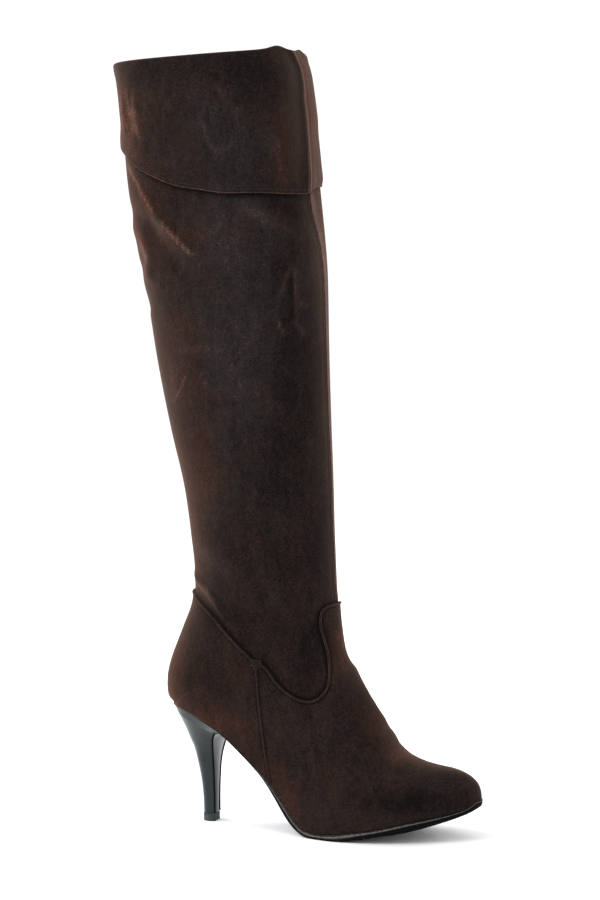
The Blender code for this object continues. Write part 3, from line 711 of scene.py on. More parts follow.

# %% [markdown]
# Where the nap has been brushed the wrong way a patch looks lighter or darker though the surface is
# smooth. Other patches are painted light and painted shade. These patches are also listed, and are
# kept on the mesh for the finish to read. Finer strokes follow the crests and the troughs of the
# folds, as paths: most are painted highlights on the crests and painted shade in the troughs. A third
# table says where the brown turns redder, or greyer where its number is negative.

# %% Brushed patches, painted light and painted shade
# side, station, height, half length along, half length up, lean, how much lighter
# some are brushed nap; others are painted light and painted shade: lighter or darker zones of the
# leg, a painted highlight on the tongue's front rim, a painted glint on the toe, and painted shade in
# the scoop beside the vamp's piping
NAP_AND_LIGHT_PATCHES = [
    (-1, 36, 74, 34, 11, -0.6, 0.26), (-1, 8, 104, 10, 20, 0.2, 0.22),
    (-1, 38, 112, 15, 12, 0.0, -0.1), (-1, 58, 152, 22, 10, -0.8, -0.12),
    (-1, 92, 36, 9, 22, -0.5, 0.16), (-1, 105, 76, 16, 18, 0.0, 0.06),
    (-1, 188, 30, 40, 9, 0.1, -0.3), (-1, 214, 33, 12, 8, 0.0, 0.1),
    (0, 157, 78, 7, 12, -0.6, 0.2), (-1, 140, 85, 8, 12, -0.7, -0.08),
    (0, 130, 118, 5, 8, -0.4, 0.12), (-1, 172, 44, 22, 9, 0.0, 0.04),
    (-1, 38, 236, 14, 40, 0.3, 0.14), (-1, 78, 250, 26, 60, 0.1, -0.12),
    (-1, 100, 300, 12, 90, 0.0, -0.14), (-1, 112, 330, 12, 120, 0.0, -0.1),
    (-1, 4, 322, 7, 30, -0.1, -0.18), (-1, 21, 106, 12, 11, 0.0, -0.22),
    (-1, 33, 142, 12, 20, -0.2, -0.14), (-1, 62, 180, 22, 26, 0.1, -0.06),
    (-1, 36, 200, 12, 16, 0.3, 0.1), (-1, 22, 330, 16, 44, 0.3, 0.12),
    (-1, 4, 415, 16, 22, 0.3, 0.12), (-1, 20, 440, 14, 10, 0.0, -0.12),
    (-1, -20, 452, 6, 10, -0.5, -0.2), (-1, 100, 425, 9, 14, 0.0, -0.1),
    (-1, 66, 340, 26, 80, 0.0, 0.19), (-1, 56, 412, 26, 20, 0.0, 0.12),
    (-1, 104, 500, 10, 30, 0.0, -0.12), (-1, 111, 128, 7, 28, 0.0, -0.24),
    (0, 129, 132, 3, 13, -0.3, 0.22), (-1, 121, 140, 5, 16, 0.0, -0.08),
    (-1, -14, 494, 10, 22, 0.1, 0.34), (-1, -8, 484, 9, 12, 0.0, 0.16),
    (-1, -6, 432, 9, 18, -0.6, -0.24), (0, 172, 58, 9, 5, -0.7, 0.26),
    (-1, 116, 212, 9, 30, 0.0, -0.12), (-1, 38, 145, 12, 12, 0.0, -0.08),
    (-1, 40, 530, 70, 10, 0.06, -0.16), (-1, 86, 522, 16, 12, 0.0, -0.12),
    (-1, 52, 496, 16, 14, 0.0, 0.1), (-1, 30, 470, 40, 9, -0.2, 0.06),
    (-1, 92, 470, 7, 20, 0.0, 0.1), (1, 60, 300, 30, 80, 0.1, 0.08),
    (1, 40, 110, 30, 20, 0.0, 0.12), (1, 50, 430, 30, 20, 0.0, -0.08),
    (1, 150, 50, 26, 14, 0.0, -0.08), (1, 30, 500, 30, 20, 0.0, 0.1),
]
print(len(NAP_AND_LIGHT_PATCHES), "brushed patches")

# %% Painted fold highlights and brushed strokes
# side, width, how much lighter, path of stations and heights
# most of these follow the folds: painted highlights along their crests and, where negative, painted
# shade in their troughs; a few are brushed strokes
FOLD_LIGHT_AND_STROKES = [
    (-1, 1.7, 0.75, [(-23, 470), (-9, 452), (0, 440), (7, 431), (13, 426)]),
    (-1, 1.5, 0.75, [(10, 429), (15, 423), (21, 417), (28, 410), (32, 406)]),
    (-1, 1.6, 0.5, [(27, 410), (33, 405.5), (39, 401)]),
    (-1, 5.0, 0.2, [(-16, 448), (-6, 434), (4, 422), (14, 410)]),
    (-1, 3.0, 0.5, [(-18, 430), (-9, 416), (-3.5, 402), (-3, 390)]),
    (-1, 4.0, 0.26, [(63, 443), (72, 437), (85, 429), (96, 420), (107, 411)]),
    (-1, 3.0, -0.16, [(88, 444), (98, 434), (107, 426)]),
    (-1, 1.2, 0.36, [(103, 399), (99, 388), (96, 379), (93.6, 369), (93, 361)]),
    (-1, 1.0, 0.6, [(93, 361), (94.2, 355.5), (96.2, 351.5), (100, 347.3)]),
    (-1, 0.9, 0.3, [(98.5, 384), (99, 372), (99.8, 361)]),
    (-1, 1.2, 0.4, [(103.5, 398), (103.3, 382), (104.3, 375), (103.6, 361)]),
    (-1, 1.0, 0.45, [(103.6, 361), (103.2, 357), (106.1, 352), (109, 346)]),
    (-1, 1.4, -0.16, [(102, 394), (101.3, 380), (101.8, 362), (100, 354)]),
    (-1, 1.0, 0.42, [(105.5, 371), (108, 368.5), (111, 366)]),
    (-1, 2.2, 0.22, [(20, 336), (30, 337), (46, 338.5), (53, 343.5)]),
    (-1, 0.9, 0.24, [(52, 343), (57, 335)]),
    (-1, 1.0, 0.4, [(29, 323), (22, 309), (13, 298)]),
    (-1, 1.0, 0.3, [(38, 324), (45, 311)]),
    (-1, 0.9, 0.24, [(63, 327), (66.5, 321)]),
    (-1, 1.1, 0.24, [(86, 307), (98, 297)]),
    (-1, 1.0, 0.22, [(19, 397), (15, 381)]),
    (-1, 1.0, 0.2, [(30, 401), (26, 387)]),
    (-1, 1.4, 0.5, [(27, 176), (39, 168), (50, 157)]),
    (-1, 2.0, 0.35, [(-17, 520), (-14, 508), (-11, 494)]),
    (-1, 2.6, 0.35, [(-9, 508), (-6, 492), (-3, 478)]),
    (-1, 1.3, -0.28, [(-11, 518), (-10, 502), (-8, 488)]),
    (-1, 1.3, -0.3, [(-7, 488), (-5, 474)]),
    (-1, 1.3, -0.3, [(2, 482), (4, 470)]),
    (-1, 2.2, 0.24, [(52, 521), (61, 511), (64, 500)]),
    (-1, 2.0, 0.24, [(45, 500), (48, 484), (55, 472), (64, 476), (73, 486)]),
    (-1, 2.2, 0.2, [(22, 512), (20, 500)]),
    (-1, 2.4, 0.2, [(71, 506), (67, 492)]),
    (-1, 2.2, 0.16, [(94, 486), (96, 466), (98, 448)]),
]
print(len(FOLD_LIGHT_AND_STROKES), "strokes")

# %% Warm and grey patches
# side, station, height, half length along, half length up, lean, how much redder
# most of this is the dye's own colour, but some patches warm the painted highlights, the painted
# glint on the toe and the lit rims
WARMTH = [
    (-1, 36, 74, 38, 15, -0.6, 0.5), (-1, 92, 38, 11, 24, -0.5, 0.7),
    (-1, 8, 104, 12, 24, 0.2, 0.3), (-1, -16, 496, 14, 34, 0.1, 0.5),
    (0, 102, 495, 8, 50, 0.08, 0.6), (0, 127, 136, 5, 18, -0.2, 0.7),
    (0, 172, 58, 10, 6, -0.7, 0.6), (-1, 38, 150, 14, 20, 0.0, 0.25),
    (-1, -8, 436, 18, 34, 0.2, 0.7), (-1, 30, 240, 18, 60, 0.2, 0.75),
    (-1, 40, 350, 16, 40, 0.2, 0.2), (-1, 68, 350, 30, 95, 0.0, -0.8),
    (-1, 62, 480, 26, 42, 0.0, -0.35), (-1, 20, 524, 30, 12, 0.0, -0.2),
    (0, 157, 78, 9, 14, -0.6, 0.45), (-1, 100, 505, 10, 50, 0.0, 0.3),
    (-1, 24, 414, 16, 8, -1.0, 0.4), (-1, 16, 344, 12, 60, -0.15, 0.3),
    (-1, 34, 110, 34, 34, 0.0, 0.3), (-1, 10, 106, 10, 30, 0.2, 0.4),
    (-1, 190, 34, 34, 12, 0.0, -0.1), (1, 60, 300, 40, 90, 0.0, 0.1),
]


def spread(points, patches):
    """The sum of some soft patches at each point."""
    total = np.zeros(points.shape[:-1])
    for side, x, z, long, tall, lean, amount in patches:
        up = (points[..., 2] - z) / tall
        out = (points[..., 0] - x - lean * (points[..., 2] - z)) / long
        total += amount * hump(up, 0, 1) * hump(out, 0, 1) * on_side(points, side)
    return total


def nap_and_painted_light(points, more=0.0):
    """The marks that the suede's finish reads: how much lighter or darker it looks, from the lie of
    the fibres and from painted highlights and painted shade, and how much redder.
    """
    nap_and_light = sum(fold(points, *stroke) for stroke in FOLD_LIGHT_AND_STROKES) + spread(points, NAP_AND_LIGHT_PATCHES) + more
    return {"nap_and_light": nap_and_light, "warmth": spread(points, WARMTH)}


print(len(WARMTH), "warm or grey patches")

# %% [markdown]
# One seam runs up the front of the shaft. The two edges are sewn face to face and pressed open, so
# the seam is a narrow groove between two low rolls. It follows the middle of the shin and drifts to
# the outer side near the knee. So that a groove less than two millimetres wide can be shaped, the
# columns of the mesh are crowded around it and follow it.

# %% Where the front seam runs
# height, how far the seam lies towards the inner side from the front ridge
SHAFT_SEAM = np.array([
    (86, 0), (395, 0), (410, -2), (420, -6), (432, -10), (446, -11), (560, -12),
])
# distances of the crowded columns from the seam
NEAR_SEAM = np.array([
    -9, -7, -5.5, -4.6, -4.1, -3.6, -3.1, -2.6, -2.1, -1.6, -1.2, -0.8, -0.4, 0,
    0.4, 0.8, 1.2, 1.6, 2.1, 2.6, 3.1, 3.6, 4.1, 4.6, 5.5, 7, 9,
])
# the toe's tip is a single point, so the rows before this one take its shares
FIRST_SHARED_ROW = 1.7


def seam_columns(rows, seam, beside):
    """Shares of every row, crowded around the seam, and each column's distance from it."""
    shares = []
    far = []
    for row in rows:
        line, around = once_round(max(row, FIRST_SHARED_ROW))
        ridge = line[len(line) // 2]
        middle = 0.5 + np.interp(ridge[2], seam[:, 0], seam[:, 1]) / around
        near = middle + NEAR_SEAM / around
        left = np.linspace(0, near[0], beside)[:-1]
        right = np.linspace(near[-1], 1, beside)[1:]
        shares.append(np.concatenate([left, near, right]))
        far.append((shares[-1] - middle) * around)
    return np.array(shares), np.array(far)


def seam_groove(far):
    """The height of a pressed-open seam at a distance from it: a groove between two rolls."""
    return 0.3 * hump(abs(far), 2.0, 1.1) - 0.55 * hump(far, 0, 0.7)


print("columns around the seam:", len(NEAR_SEAM))

# %% [markdown]
# Two things that lie on the shaft have a dark line of painted shade beside them, where their shadow
# falls on the nap: the edges of the overlays and the hem of the cuff. So their outlines come before
# the shaft.

# %% Outlines of the overlays
SIDE_SEAM = np.array([(84.4, 20), (83.5, 35), (80.6, 59), (78.6, 85), (77.3, 102), (76.0, 120.5)])
VAMP_TOP = np.array([
    (76.0, 120.5), (82.4, 117.6), (89.8, 108.4), (96.9, 101.4), (104.9, 96.6), (113.5, 94.6),
    (120.5, 97.8), (124.6, 104.6), (125.0, 114.4), (122.8, 125.4), (120.3, 136), (118.0, 145),
    (117.7, 152), (119.3, 157.6), (123.5, 159.8),
])
COUNTER_TOP = np.array([
    (76.0, 120.5), (66.0, 129.4), (57.0, 138.5), (47.3, 148.2), (38.0, 155.2), (30.0, 159.9),
    (24.0, 163.3), (17.0, 165.8),
])


def curve_points(table, count):
    """Evenly numbered points on the smooth curve through a table."""
    return smooth(np.linspace(0, len(table) - 1, count), np.arange(len(table)), table)


def inside(points, edge):
    """How far each point lies inside a closed outline in side view, negative outside it."""
    place = points[:, [0, 2]]
    nearest = np.full(len(place), np.inf)
    within = np.zeros(len(place), bool)
    for start, end in zip(edge, np.roll(edge, -1, axis=0)):
        way = end - start
        t = np.clip((place - start) @ way / max(way @ way, 1e-9), 0, 1)
        nearest = np.minimum(nearest, np.linalg.norm(place - start - t[:, None] * way, axis=1))
        crosses = (start[1] > place[:, 1]) != (end[1] > place[:, 1])
        reach = start[0] + (place[:, 1] - start[1]) * way[0] / (way[1] or 1e-9)
        within ^= crosses & (place[:, 0] < reach)
    return np.where(within, nearest, -nearest)


side_seam = curve_points(SIDE_SEAM, 40)
vamp_top = curve_points(VAMP_TOP, 120)
counter_top = curve_points(COUNTER_TOP, 60)
vamp_edge = np.concatenate([side_seam, vamp_top[1:], [(260, 159.8), (260, 0), (84.4, 0)]])
counter_edge = np.concatenate([side_seam, counter_top[1:], [(-40, 165.8), (-40, 0), (84.4, 0)]])
print("the vamp's top edge starts at", VAMP_TOP[0], "and ends at", VAMP_TOP[-1])

# %% Where the hem hangs
# share of the way round from the back, depth of the hem under the collar
HEM = np.array([
    (0, 52), (0.07, 56), (0.103, 62), (0.14, 72), (0.163, 76.5), (0.21, 84.5), (0.257, 88.5),
    (0.303, 92), (0.353, 93), (0.437, 95.5), (0.46, 95.5), (0.48, 93.5), (0.5, 91), (0.55, 89.5),
    (0.6, 89.5), (0.66, 91), (0.7, 91), (0.743, 88.5), (0.79, 84.5), (0.837, 76.5), (0.86, 72),
    (0.897, 62), (0.93, 56), (1, 52),
])


def hem_painted_shadow(points, shares):
    """How much painted shadow darkens the suede just below the cuff's hem."""
    below = points[-1, :, 2] - smooth(shares[-1], HEM[:, 0], HEM[:, 1]) - points[..., 2]
    return -0.5 * hump(np.clip(below, 0, None), 0, 2.6) * (below > -3)


def crease_painted_shade(points):
    """How much painted shade darkens the suede just outside the overlays' edges."""
    flat = points.reshape(-1, 3)
    out = -np.maximum(inside(flat, vamp_edge), inside(flat, counter_edge))
    return -0.6 * hump(out, 0.9, 1.3).reshape(points.shape[:-1])


print("the hem hangs", HEM[:, 1].min(), "to", HEM[:, 1].max(), "mm below the collar")

# %% [markdown]
# The shaft is one surface from the toe to the collar. Only its leg and its instep are seen, so the
# toe under the vamp and the top inside the cuff are coarse. A Solidify modifier gives it the
# thickness of suede with its lining bonded on, and puts the lining's finish on the inside. The seam
# shows only at the front, above the vamp, and the suede beside it is brushed light and also painted
# lighter, as painted light where the lamp on the right falls.

# %% Make the shaft
# from one row of the tables to another, and how far apart the mesh's rows are
SHAFT_ROWS = [
    (0, 9, 9.0), (9, HEEL_ROW, 2.4), (HEEL_ROW, HEEL_ROW + 8, 1.8),
    (HEEL_ROW + 8, TOP_ROW - 1.5, 2.1), (TOP_ROW - 1.5, TOP_ROW, 7.5),
]


def make_shaft():
    rows = np.unique(np.concatenate([rows_between(*stretch) for stretch in SHAFT_ROWS]))
    shares, far = seam_columns(rows, SHAFT_SEAM, beside=68)
    points, outward = form(rows, shares)
    seen = rising(points[..., 2], 120, 25) * rising(points[..., 0], 60, 20)
    lift = seam_groove(far) * seen + folds(points) * falling(points[..., 2], 452, 30)
    skin = points + outward * lift[..., None]
    set_on_sole(skin, rows)
    # the strip right of the seam is brushed light and painted lighter as painted light; the hem and
    # the overlays' edges add painted shadow and painted shade
    strip = 0.66 * rising(far, 0, 1.2) * falling(far, 16, 10) * seen
    marks = nap_and_painted_light(points, strip + hem_painted_shadow(points, shares) + crease_painted_shade(points))
    faces = grid_faces(*shares.shape)
    shaft = make_piece(
        "suede_shaft", skin.reshape(-1, 3), faces, suede, "suede", "upper", marks=marks,
    )
    thicken(shaft, thickness=1.6, inner=lining)


make_shaft()

# %% [markdown]
# ## The vamp and the counter
# The overlays are cut to a pattern, laid on the shaft, and sewn along their edges. Their outline is
# known as seen from the side, so a skin of the whole foot is made over the shaft and then trimmed:
# a face that crosses the outline is cut where the distance to the outline is zero. The points of
# that cut, in order, are the edge that the piping is sewn to.

# %% Trim a skin to an outline
SHORTEST_CUT = 5  # no more points than this are the corner of a face, not an edge


def trim(values, faces, depth):
    """Keeps what has depth above zero, and returns it with the lines along which it was cut."""
    values = list(values)
    kept = []
    cuts = {}
    next_to = {}

    def cut(a, b):
        key = (min(a, b), max(a, b))
        if key not in cuts:
            share = depth[a] / (depth[a] - depth[b])
            cuts[key] = len(values)
            values.append(values[a] + share * (values[b] - values[a]))
        return cuts[key]

    for face in faces:
        sides = [depth[corner] > 0 for corner in face]
        if all(sides):
            kept.append(face)
        elif any(sides):
            ring = []
            ends = []
            for a, b in zip(face, face[1:] + face[:1]):
                if depth[a] > 0:
                    ring.append(a)
                if (depth[a] > 0) != (depth[b] > 0):
                    ring.append(cut(a, b))
                    ends.append(ring[-1])
            kept.append(tuple(ring))
            if len(ends) == 2:
                next_to.setdefault(ends[0], []).append(ends[1])
                next_to.setdefault(ends[1], []).append(ends[0])
    return np.array(values), kept, next_to


def chains(next_to):
    """Orders the points of the cuts into lines."""
    left = dict(next_to)
    lines = []
    while left:
        ends = [point for point in left if len([n for n in left[point] if n in left]) == 1]
        line = [ends[0] if ends else next(iter(left))]
        while True:
            options = [n for n in left.pop(line[-1], []) if n in left and n != line[-1]]
            if not options:
                break
            line.append(options[0])
        lines.append(line)
    return [line for line in lines if len(line) > SHORTEST_CUT]


square = np.array([(0.0, 0.0), (1.0, 0.0), (1.0, 1.0), (0.0, 1.0)])
print("a square cut in half:", trim(square, [(0, 1, 2, 3)], [1, -1, -1, 1])[0][4:].tolist())

# %% [markdown]
# Both overlays stand about a millimetre off the shaft. They take its folds, so that shaft, vamp and
# counter move together and never cut through each other. Round the heel their lower edge comes down
# over the top of the heel's rim, so that no gap shows there.

# %% Make the overlays
OVERLAY_LIFT = 1.3
OVER_RIM = 2.2
OVERLAY_COLUMNS = 241


def make_overlay(name, solid, rows, edge):
    """A trimmed skin over the shaft, with its edge as points and outward directions."""
    points, outward = form(rows, np.linspace(0, 1, OVERLAY_COLUMNS))
    over_heel = falling(points[..., 0], 35, 24)
    columns = np.arange(OVERLAY_COLUMNS)
    from_edge = np.minimum(columns, columns[::-1])
    wrapped = falling(from_edge, 5, 5) * over_heel * (rows <= HEEL_ROW)[:, None]
    skin = points + outward * (OVERLAY_LIFT + folds(points) + 0.3 * wrapped)[..., None]
    set_on_sole(skin, rows, OVER_RIM * over_heel)
    values = np.concatenate([skin, outward], axis=2).reshape(-1, 6)
    faces = grid_faces(len(rows), OVERLAY_COLUMNS)
    values, faces, next_to = trim(values, faces, inside(values[:, :3], edge))
    lines = [values[line] for line in chains(next_to)]
    used = np.unique(np.concatenate([np.array(face) for face in faces]))
    renumbered = np.zeros(len(values), int)
    renumbered[used] = np.arange(len(used))
    faces = [tuple(renumbered[list(face)].tolist()) for face in faces]
    points = values[used, :3]
    # painted shade just inside the overlay's edge, beside its piping
    painted_edge_shade = -0.3 * hump(inside(points, edge), 1.4, 0.7)
    made = make_piece(name, points, faces, suede, "suede", solid, marks=nap_and_painted_light(points, painted_edge_shade))
    thicken(made, thickness=0.9)
    print(name, "was cut along", [len(line) for line in lines], "points")
    return lines


# the vamp takes the whole foot and a little of the ankle, the counter the foot's back and more
foot_rows = rows_between(0, HEEL_ROW, 1.3)
ankle_rows = rows_between(HEEL_ROW, HEEL_ROW + 8, 1.6)
vamp_rows = np.append(foot_rows, ankle_rows[(ankle_rows > HEEL_ROW) & (ankle_rows < HEEL_ROW + 5)])
counter_rows = np.append(foot_rows[foot_rows > 16], ankle_rows[ankle_rows > HEEL_ROW])
vamp_lines = make_overlay("suede_vamp", "vamp", vamp_rows, vamp_edge)
counter_lines = make_overlay("suede_counter", "counter", counter_rows, counter_edge)

# %% [markdown]
# A narrow strip of suede, folded over a cord and sewn into the edge, finishes both overlays. It
# reads as a raised line that is lighter than the panels. It is a tube: circles placed along the
# edge, each square to the edge and upright on the suede under it.

# %% A tube along a line
def evenly(line, step, smoothing=2):
    """The line's points again, a step apart, with the cut's small jitter taken out."""
    for _ in range(smoothing):
        line = np.concatenate([line[:1], (line[:-2] + 2 * line[1:-1] + line[2:]) / 4, line[-1:]])
    walked = np.append(0, np.cumsum(np.linalg.norm(np.diff(line[:, :3], axis=0), axis=1)))
    wanted = np.linspace(0, walked[-1], max(int(walked[-1] / step), 2))
    return np.column_stack([np.interp(wanted, walked, values) for values in line.T])


def tube(path, up, wide, high, sides=12):
    """Points and faces of a closed-ended tube along a path, wide across and high along up."""
    along = unit(np.gradient(path, axis=0))
    across = unit(np.cross(along, up))
    up = np.cross(across, along)
    angle = np.arange(sides) / sides * 2 * np.pi
    wide = np.broadcast_to(wide, len(path))[:, None, None]
    high = np.broadcast_to(high, len(path))[:, None, None]
    rings = path[:, None] + across[:, None] * np.cos(angle)[:, None] * wide
    rings = rings + up[:, None] * np.sin(angle)[:, None] * high
    return closed_form(rings)


def together(parts):
    """Several sets of points and faces as one."""
    points = []
    faces = []
    count = 0
    for more_points, more_faces in parts:
        points.append(more_points)
        faces += [tuple(corner + count for corner in face) for face in more_faces]
        count += len(more_points)
    return np.concatenate(points), faces


print("a tube through 3 points has", len(tube(np.eye(3), np.eye(3)[[1, 2, 0]], 1, 1)[0]), "points")

# %% [markdown]
# The vamp's edge runs up the side seam, and above the junction with the counter it turns away from
# it. The counter has the same side seam, so the roll along that seam is made only once.

# %% Make the piping
JUNCTION_HEIGHT = SIDE_SEAM[-1, 1] - 1
NEAR_THE_SEAM = 1.5
SHORTEST_PIPING = 8  # no more points than this are only where the edge meets the seam


def seams_and_top(lines):
    """The edge's pieces below the junction with the side seam, and its piece above it."""
    seams = []
    tops = []
    for line in lines:
        seam_x = np.interp(line[:, 2], side_seam[:, 1], side_seam[:, 0])
        on_seam = (line[:, 2] < JUNCTION_HEIGHT) & (abs(line[:, 0] - seam_x) < NEAR_THE_SEAM)
        change = np.flatnonzero(np.diff(on_seam.astype(int))) + 1
        for part, mine in zip(np.split(line, change), np.split(on_seam, change)):
            if len(part) > SHORTEST_PIPING:
                (seams if mine[0] else tops).append(part)
    return seams, tops


def piping(name, lines, wide, high, lift):
    """A rounded strip along some lines, raised or sunk by its lift."""
    parts = []
    for line in lines:
        line = evenly(line, 0.9, 6)
        parts.append(tube(line[:, :3] + line[:, 3:] * lift, line[:, 3:], wide, high))
    points, faces = together(parts)
    make_piece(name, points, faces, edge_suede, "suede", marks=nap_and_painted_light(points, -0.07))


vamp_seams, vamp_tops = seams_and_top(vamp_lines)
counter_tops = seams_and_top(counter_lines)[1]
print(len(vamp_seams), "side seams,", len(vamp_tops), "top of the vamp")
piping("vamp_piping", vamp_tops, 0.75, 1.0, 0.0)
piping("counter_piping", counter_tops, 0.75, 0.95, -0.05)
piping("side_seam_roll", vamp_seams, 0.65, 0.75, -0.25)

# %% [markdown]
# Where both pipings and the side seam meet, four layers of suede are turned over each other. They
# are beaten flat by the maker, but a small knot of short rolls stays.

# %% The knots where the seams meet
# each roll: from and to, along and up from the junction, and its radius
KNOT = [
    ((-4.2, 2.4), (3.0, 1.6), 1.15), ((-3.8, -0.6), (4.4, -1.6), 1.3),
    ((-1.6, -3.2), (1.4, -2.8), 0.9), ((2.2, 2.6), (4.6, -0.8), 0.9),
]
ROLL_STEPS = np.linspace(0, 1, 9)


def knot_roll(place, start, end, radius):
    """One short roll at a place on the edge, sunk at both ends and thickest in the middle."""
    centre, out = place[:3], place[3:]
    along = np.array([1.0, 0, 0]) - out * out[0]
    up = np.array([0, 0, 1.0]) - out * out[2]
    flat = np.array(start) + (np.array(end) - np.array(start)) * ROLL_STEPS[:, None]
    dome = np.sin(np.pi * (0.12 + 0.76 * ROLL_STEPS[:, None])) * 0.9 - 0.6
    path = centre + flat[:, :1] * along + flat[:, 1:] * up + out * dome
    wide = radius * np.sin(np.pi * (0.2 + 0.6 * ROLL_STEPS))
    return tube(path, np.tile(out, (len(path), 1)), wide, radius * 0.9)


junctions = [line[end] for line in vamp_tops for end in (0, -1)]
points, faces = together([knot_roll(place, *roll) for place in junctions for roll in KNOT])
make_piece("junction_knots", points, faces, edge_suede, "suede", marks=nap_and_painted_light(points, -0.1))

# %% [markdown]
# ## The cuff
# The top of the shaft is covered by a separate band that is turned over the collar: outside it
# hangs down to a hem that is lower at the front than at the back, and inside it ends as a facing.
# Its section is one closed line, drawn at every column of the leg at the depth where it lies there.

# %% Tables of the cuff
CUFF_SEAM = np.array([
    (400, -16), (445, -16), (453, -14), (475, -9), (492, -7), (507, -7), (520, -5), (530, -5),
    (537, -10), (545, -18),
])
CUFF_FACING = 30.0

# out from the shaft's face, share of the way to the hem, share of the facing, rise over the collar,
# and how many points lie between this one and the next
CUFF_SECTION = np.array([
    (2.7, 1, 0, 0, 20), (2.6, 0.6, 0, 0, 18), (2.4, 0.25, 0, 0, 12), (2.2, 0.05, 0, 0, 4),
    (1.9, 0, 0, 0.9, 4), (0.9, 0, 0, 1.9, 4), (-0.7, 0, 0, 2.2, 4), (-2.3, 0, 0, 1.9, 4),
    (-3.3, 0, 0, 0.9, 3), (-3.6, 0, 0.1, 0, 12), (-3.6, 0, 1, 0, 2), (-2.2, 0, 1, 0, 6),
    (-2.2, 0, 0.1, 0, 1), (-2.2, 0, 0, 0.5, 2), (0.4, 0, 0, 0.5, 1), (0.6, 0.05, 0, 0, 3),
    (1.0, 0.25, 0, 0, 5), (1.4, 0.6, 0, 0, 6), (1.5, 0.985, 0, 0, 2), (1.9, 1.004, 0, 0, 2),
    (2.4, 1.004, 0, 0, 2),
])
OVER_COLLAR = range(3, 9)  # the rows of the section that are joined by a curve
OUTER_FACE = int(CUFF_SECTION[:4, 4].sum())


def cuff_profile():
    """The cuff's closed section as many close steps, round over the collar and straight elsewhere."""
    steps = []
    whole = np.concatenate([CUFF_SECTION, CUFF_SECTION[:1]])[:, :4]
    for i, count in enumerate(CUFF_SECTION[:, 4].astype(int)):
        at = i + np.arange(count) / count
        if i in OVER_COLLAR:
            steps.append(smooth(at, np.arange(len(whole)), whole))
        else:
            steps.append(whole[i] + (at - i)[:, None] * (whole[i + 1] - whole[i]))
    return np.concatenate(steps)


profile = cuff_profile()
print("the cuff's section has", len(profile), "points,", OUTER_FACE, "of them on its outer face")

# %% [markdown]
# The cuff has folds of its own. It bulges a little over the seam of the collar, waves softly along
# its hem, and is pulled into two upright folds beside the front seam. All of them fade out towards
# the inside, so that only its outer face moves. On a strip beside the seam the suede is brushed the
# other way and also painted lighter, as painted light where the lamp on the right falls, and just
# before the seam it is painted darker, as painted shade.

# %% Folds of the cuff
# side, width, height, path of stations and heights
CUFF_FOLDS = [
    (-1, 5.0, 0.9, [(93, 534), (92, 515), (93, 490), (96, 462), (98, 446)]),
    (-1, 4.0, -0.5, [(96, 520), (98, 500), (100, 478), (101, 456)]),
    (-1, 5, -0.6, [(84, 528), (83, 505), (84, 478), (86, 458)]),
    (-1, 3.0, 0.9, [(-16, 520), (-17, 502), (-14, 482)]),
    (-1, 2.5, -0.9, [(-10, 516), (-11, 500), (-10, 484)]),
    (-1, 3.0, 0.8, [(-5, 518), (-6, 500), (-3, 480)]),
    (0, 13, -1.3, [(-42, 528), (-34, 514), (-32, 498), (-28, 480)]),
    (0, 8, 0.9, [(-44, 541), (-38, 536), (-34, 528)]),
    (-1, 14, -0.6, [(-10, 525), (0, 500), (8, 478)]),
    (-1, 16, 0.8, [(10, 500), (30, 480), (50, 462)]),
    (-1, 12, 0.5, [(55, 525), (62, 500), (66, 470)]),
    (1, 8, 0.8, [(90, 538), (96, 518), (99, 500), (101, 484)]),
    (1, 12, 0.9, [(-28, 522), (-20, 500), (-8, 480)]),
    (1, 14, 0.8, [(30, 520), (44, 495), (60, 470)]),
]
# share of the way round, half width as a share, rise of the collar's rim
RIM_BUMPS = [(0.43, 0.05, 1.0), (0.43, 0.02, 2.0), (0.515, 0.009, 1.3), (0.56, 0.018, -1.8)]
PINCH = 0.54  # the share of the way round where the hem is drawn in and hangs lower
print(len(CUFF_FOLDS), "folds of the cuff and", len(RIM_BUMPS), "bumps of its rim")

# %% Make the cuff
ROW_STEP = 0.125


def read_columns(wanted, known, values):
    """Each column's values at the wanted places, read between the places where they are known."""
    found = np.empty((len(wanted), *values.shape[1:]))
    for j in range(values.shape[1]):
        for k in range(values.shape[2]):
            found[:, j, k] = np.interp(wanted[:, j], known[:, j], values[:, j, k])
    return found


def strip_nap_light_and_shade(apart, heights):
    """How much lighter the suede beside the seam looks, from fibres laid the other way and from
    painted light, and how much painted shade darkens it just before the seam.
    """
    streaks = 0.1 * np.sin(apart * 1.7 + heights / 9) + 0.06 * np.sin(apart * 0.9 - heights / 5.5)
    strip = 0.33 + 0.2 * hump(apart, 2.4, 1.8) + streaks * falling(apart, 16, 9)
    # painted shade just before the seam
    before = (0.16 + 0.2 * rising(heights, 465, 50)) * hump(apart, -6.5, 4.0)
    return eased(rising(apart, -2.4, 4.4)) * strip * falling(apart, 50, 42) - before


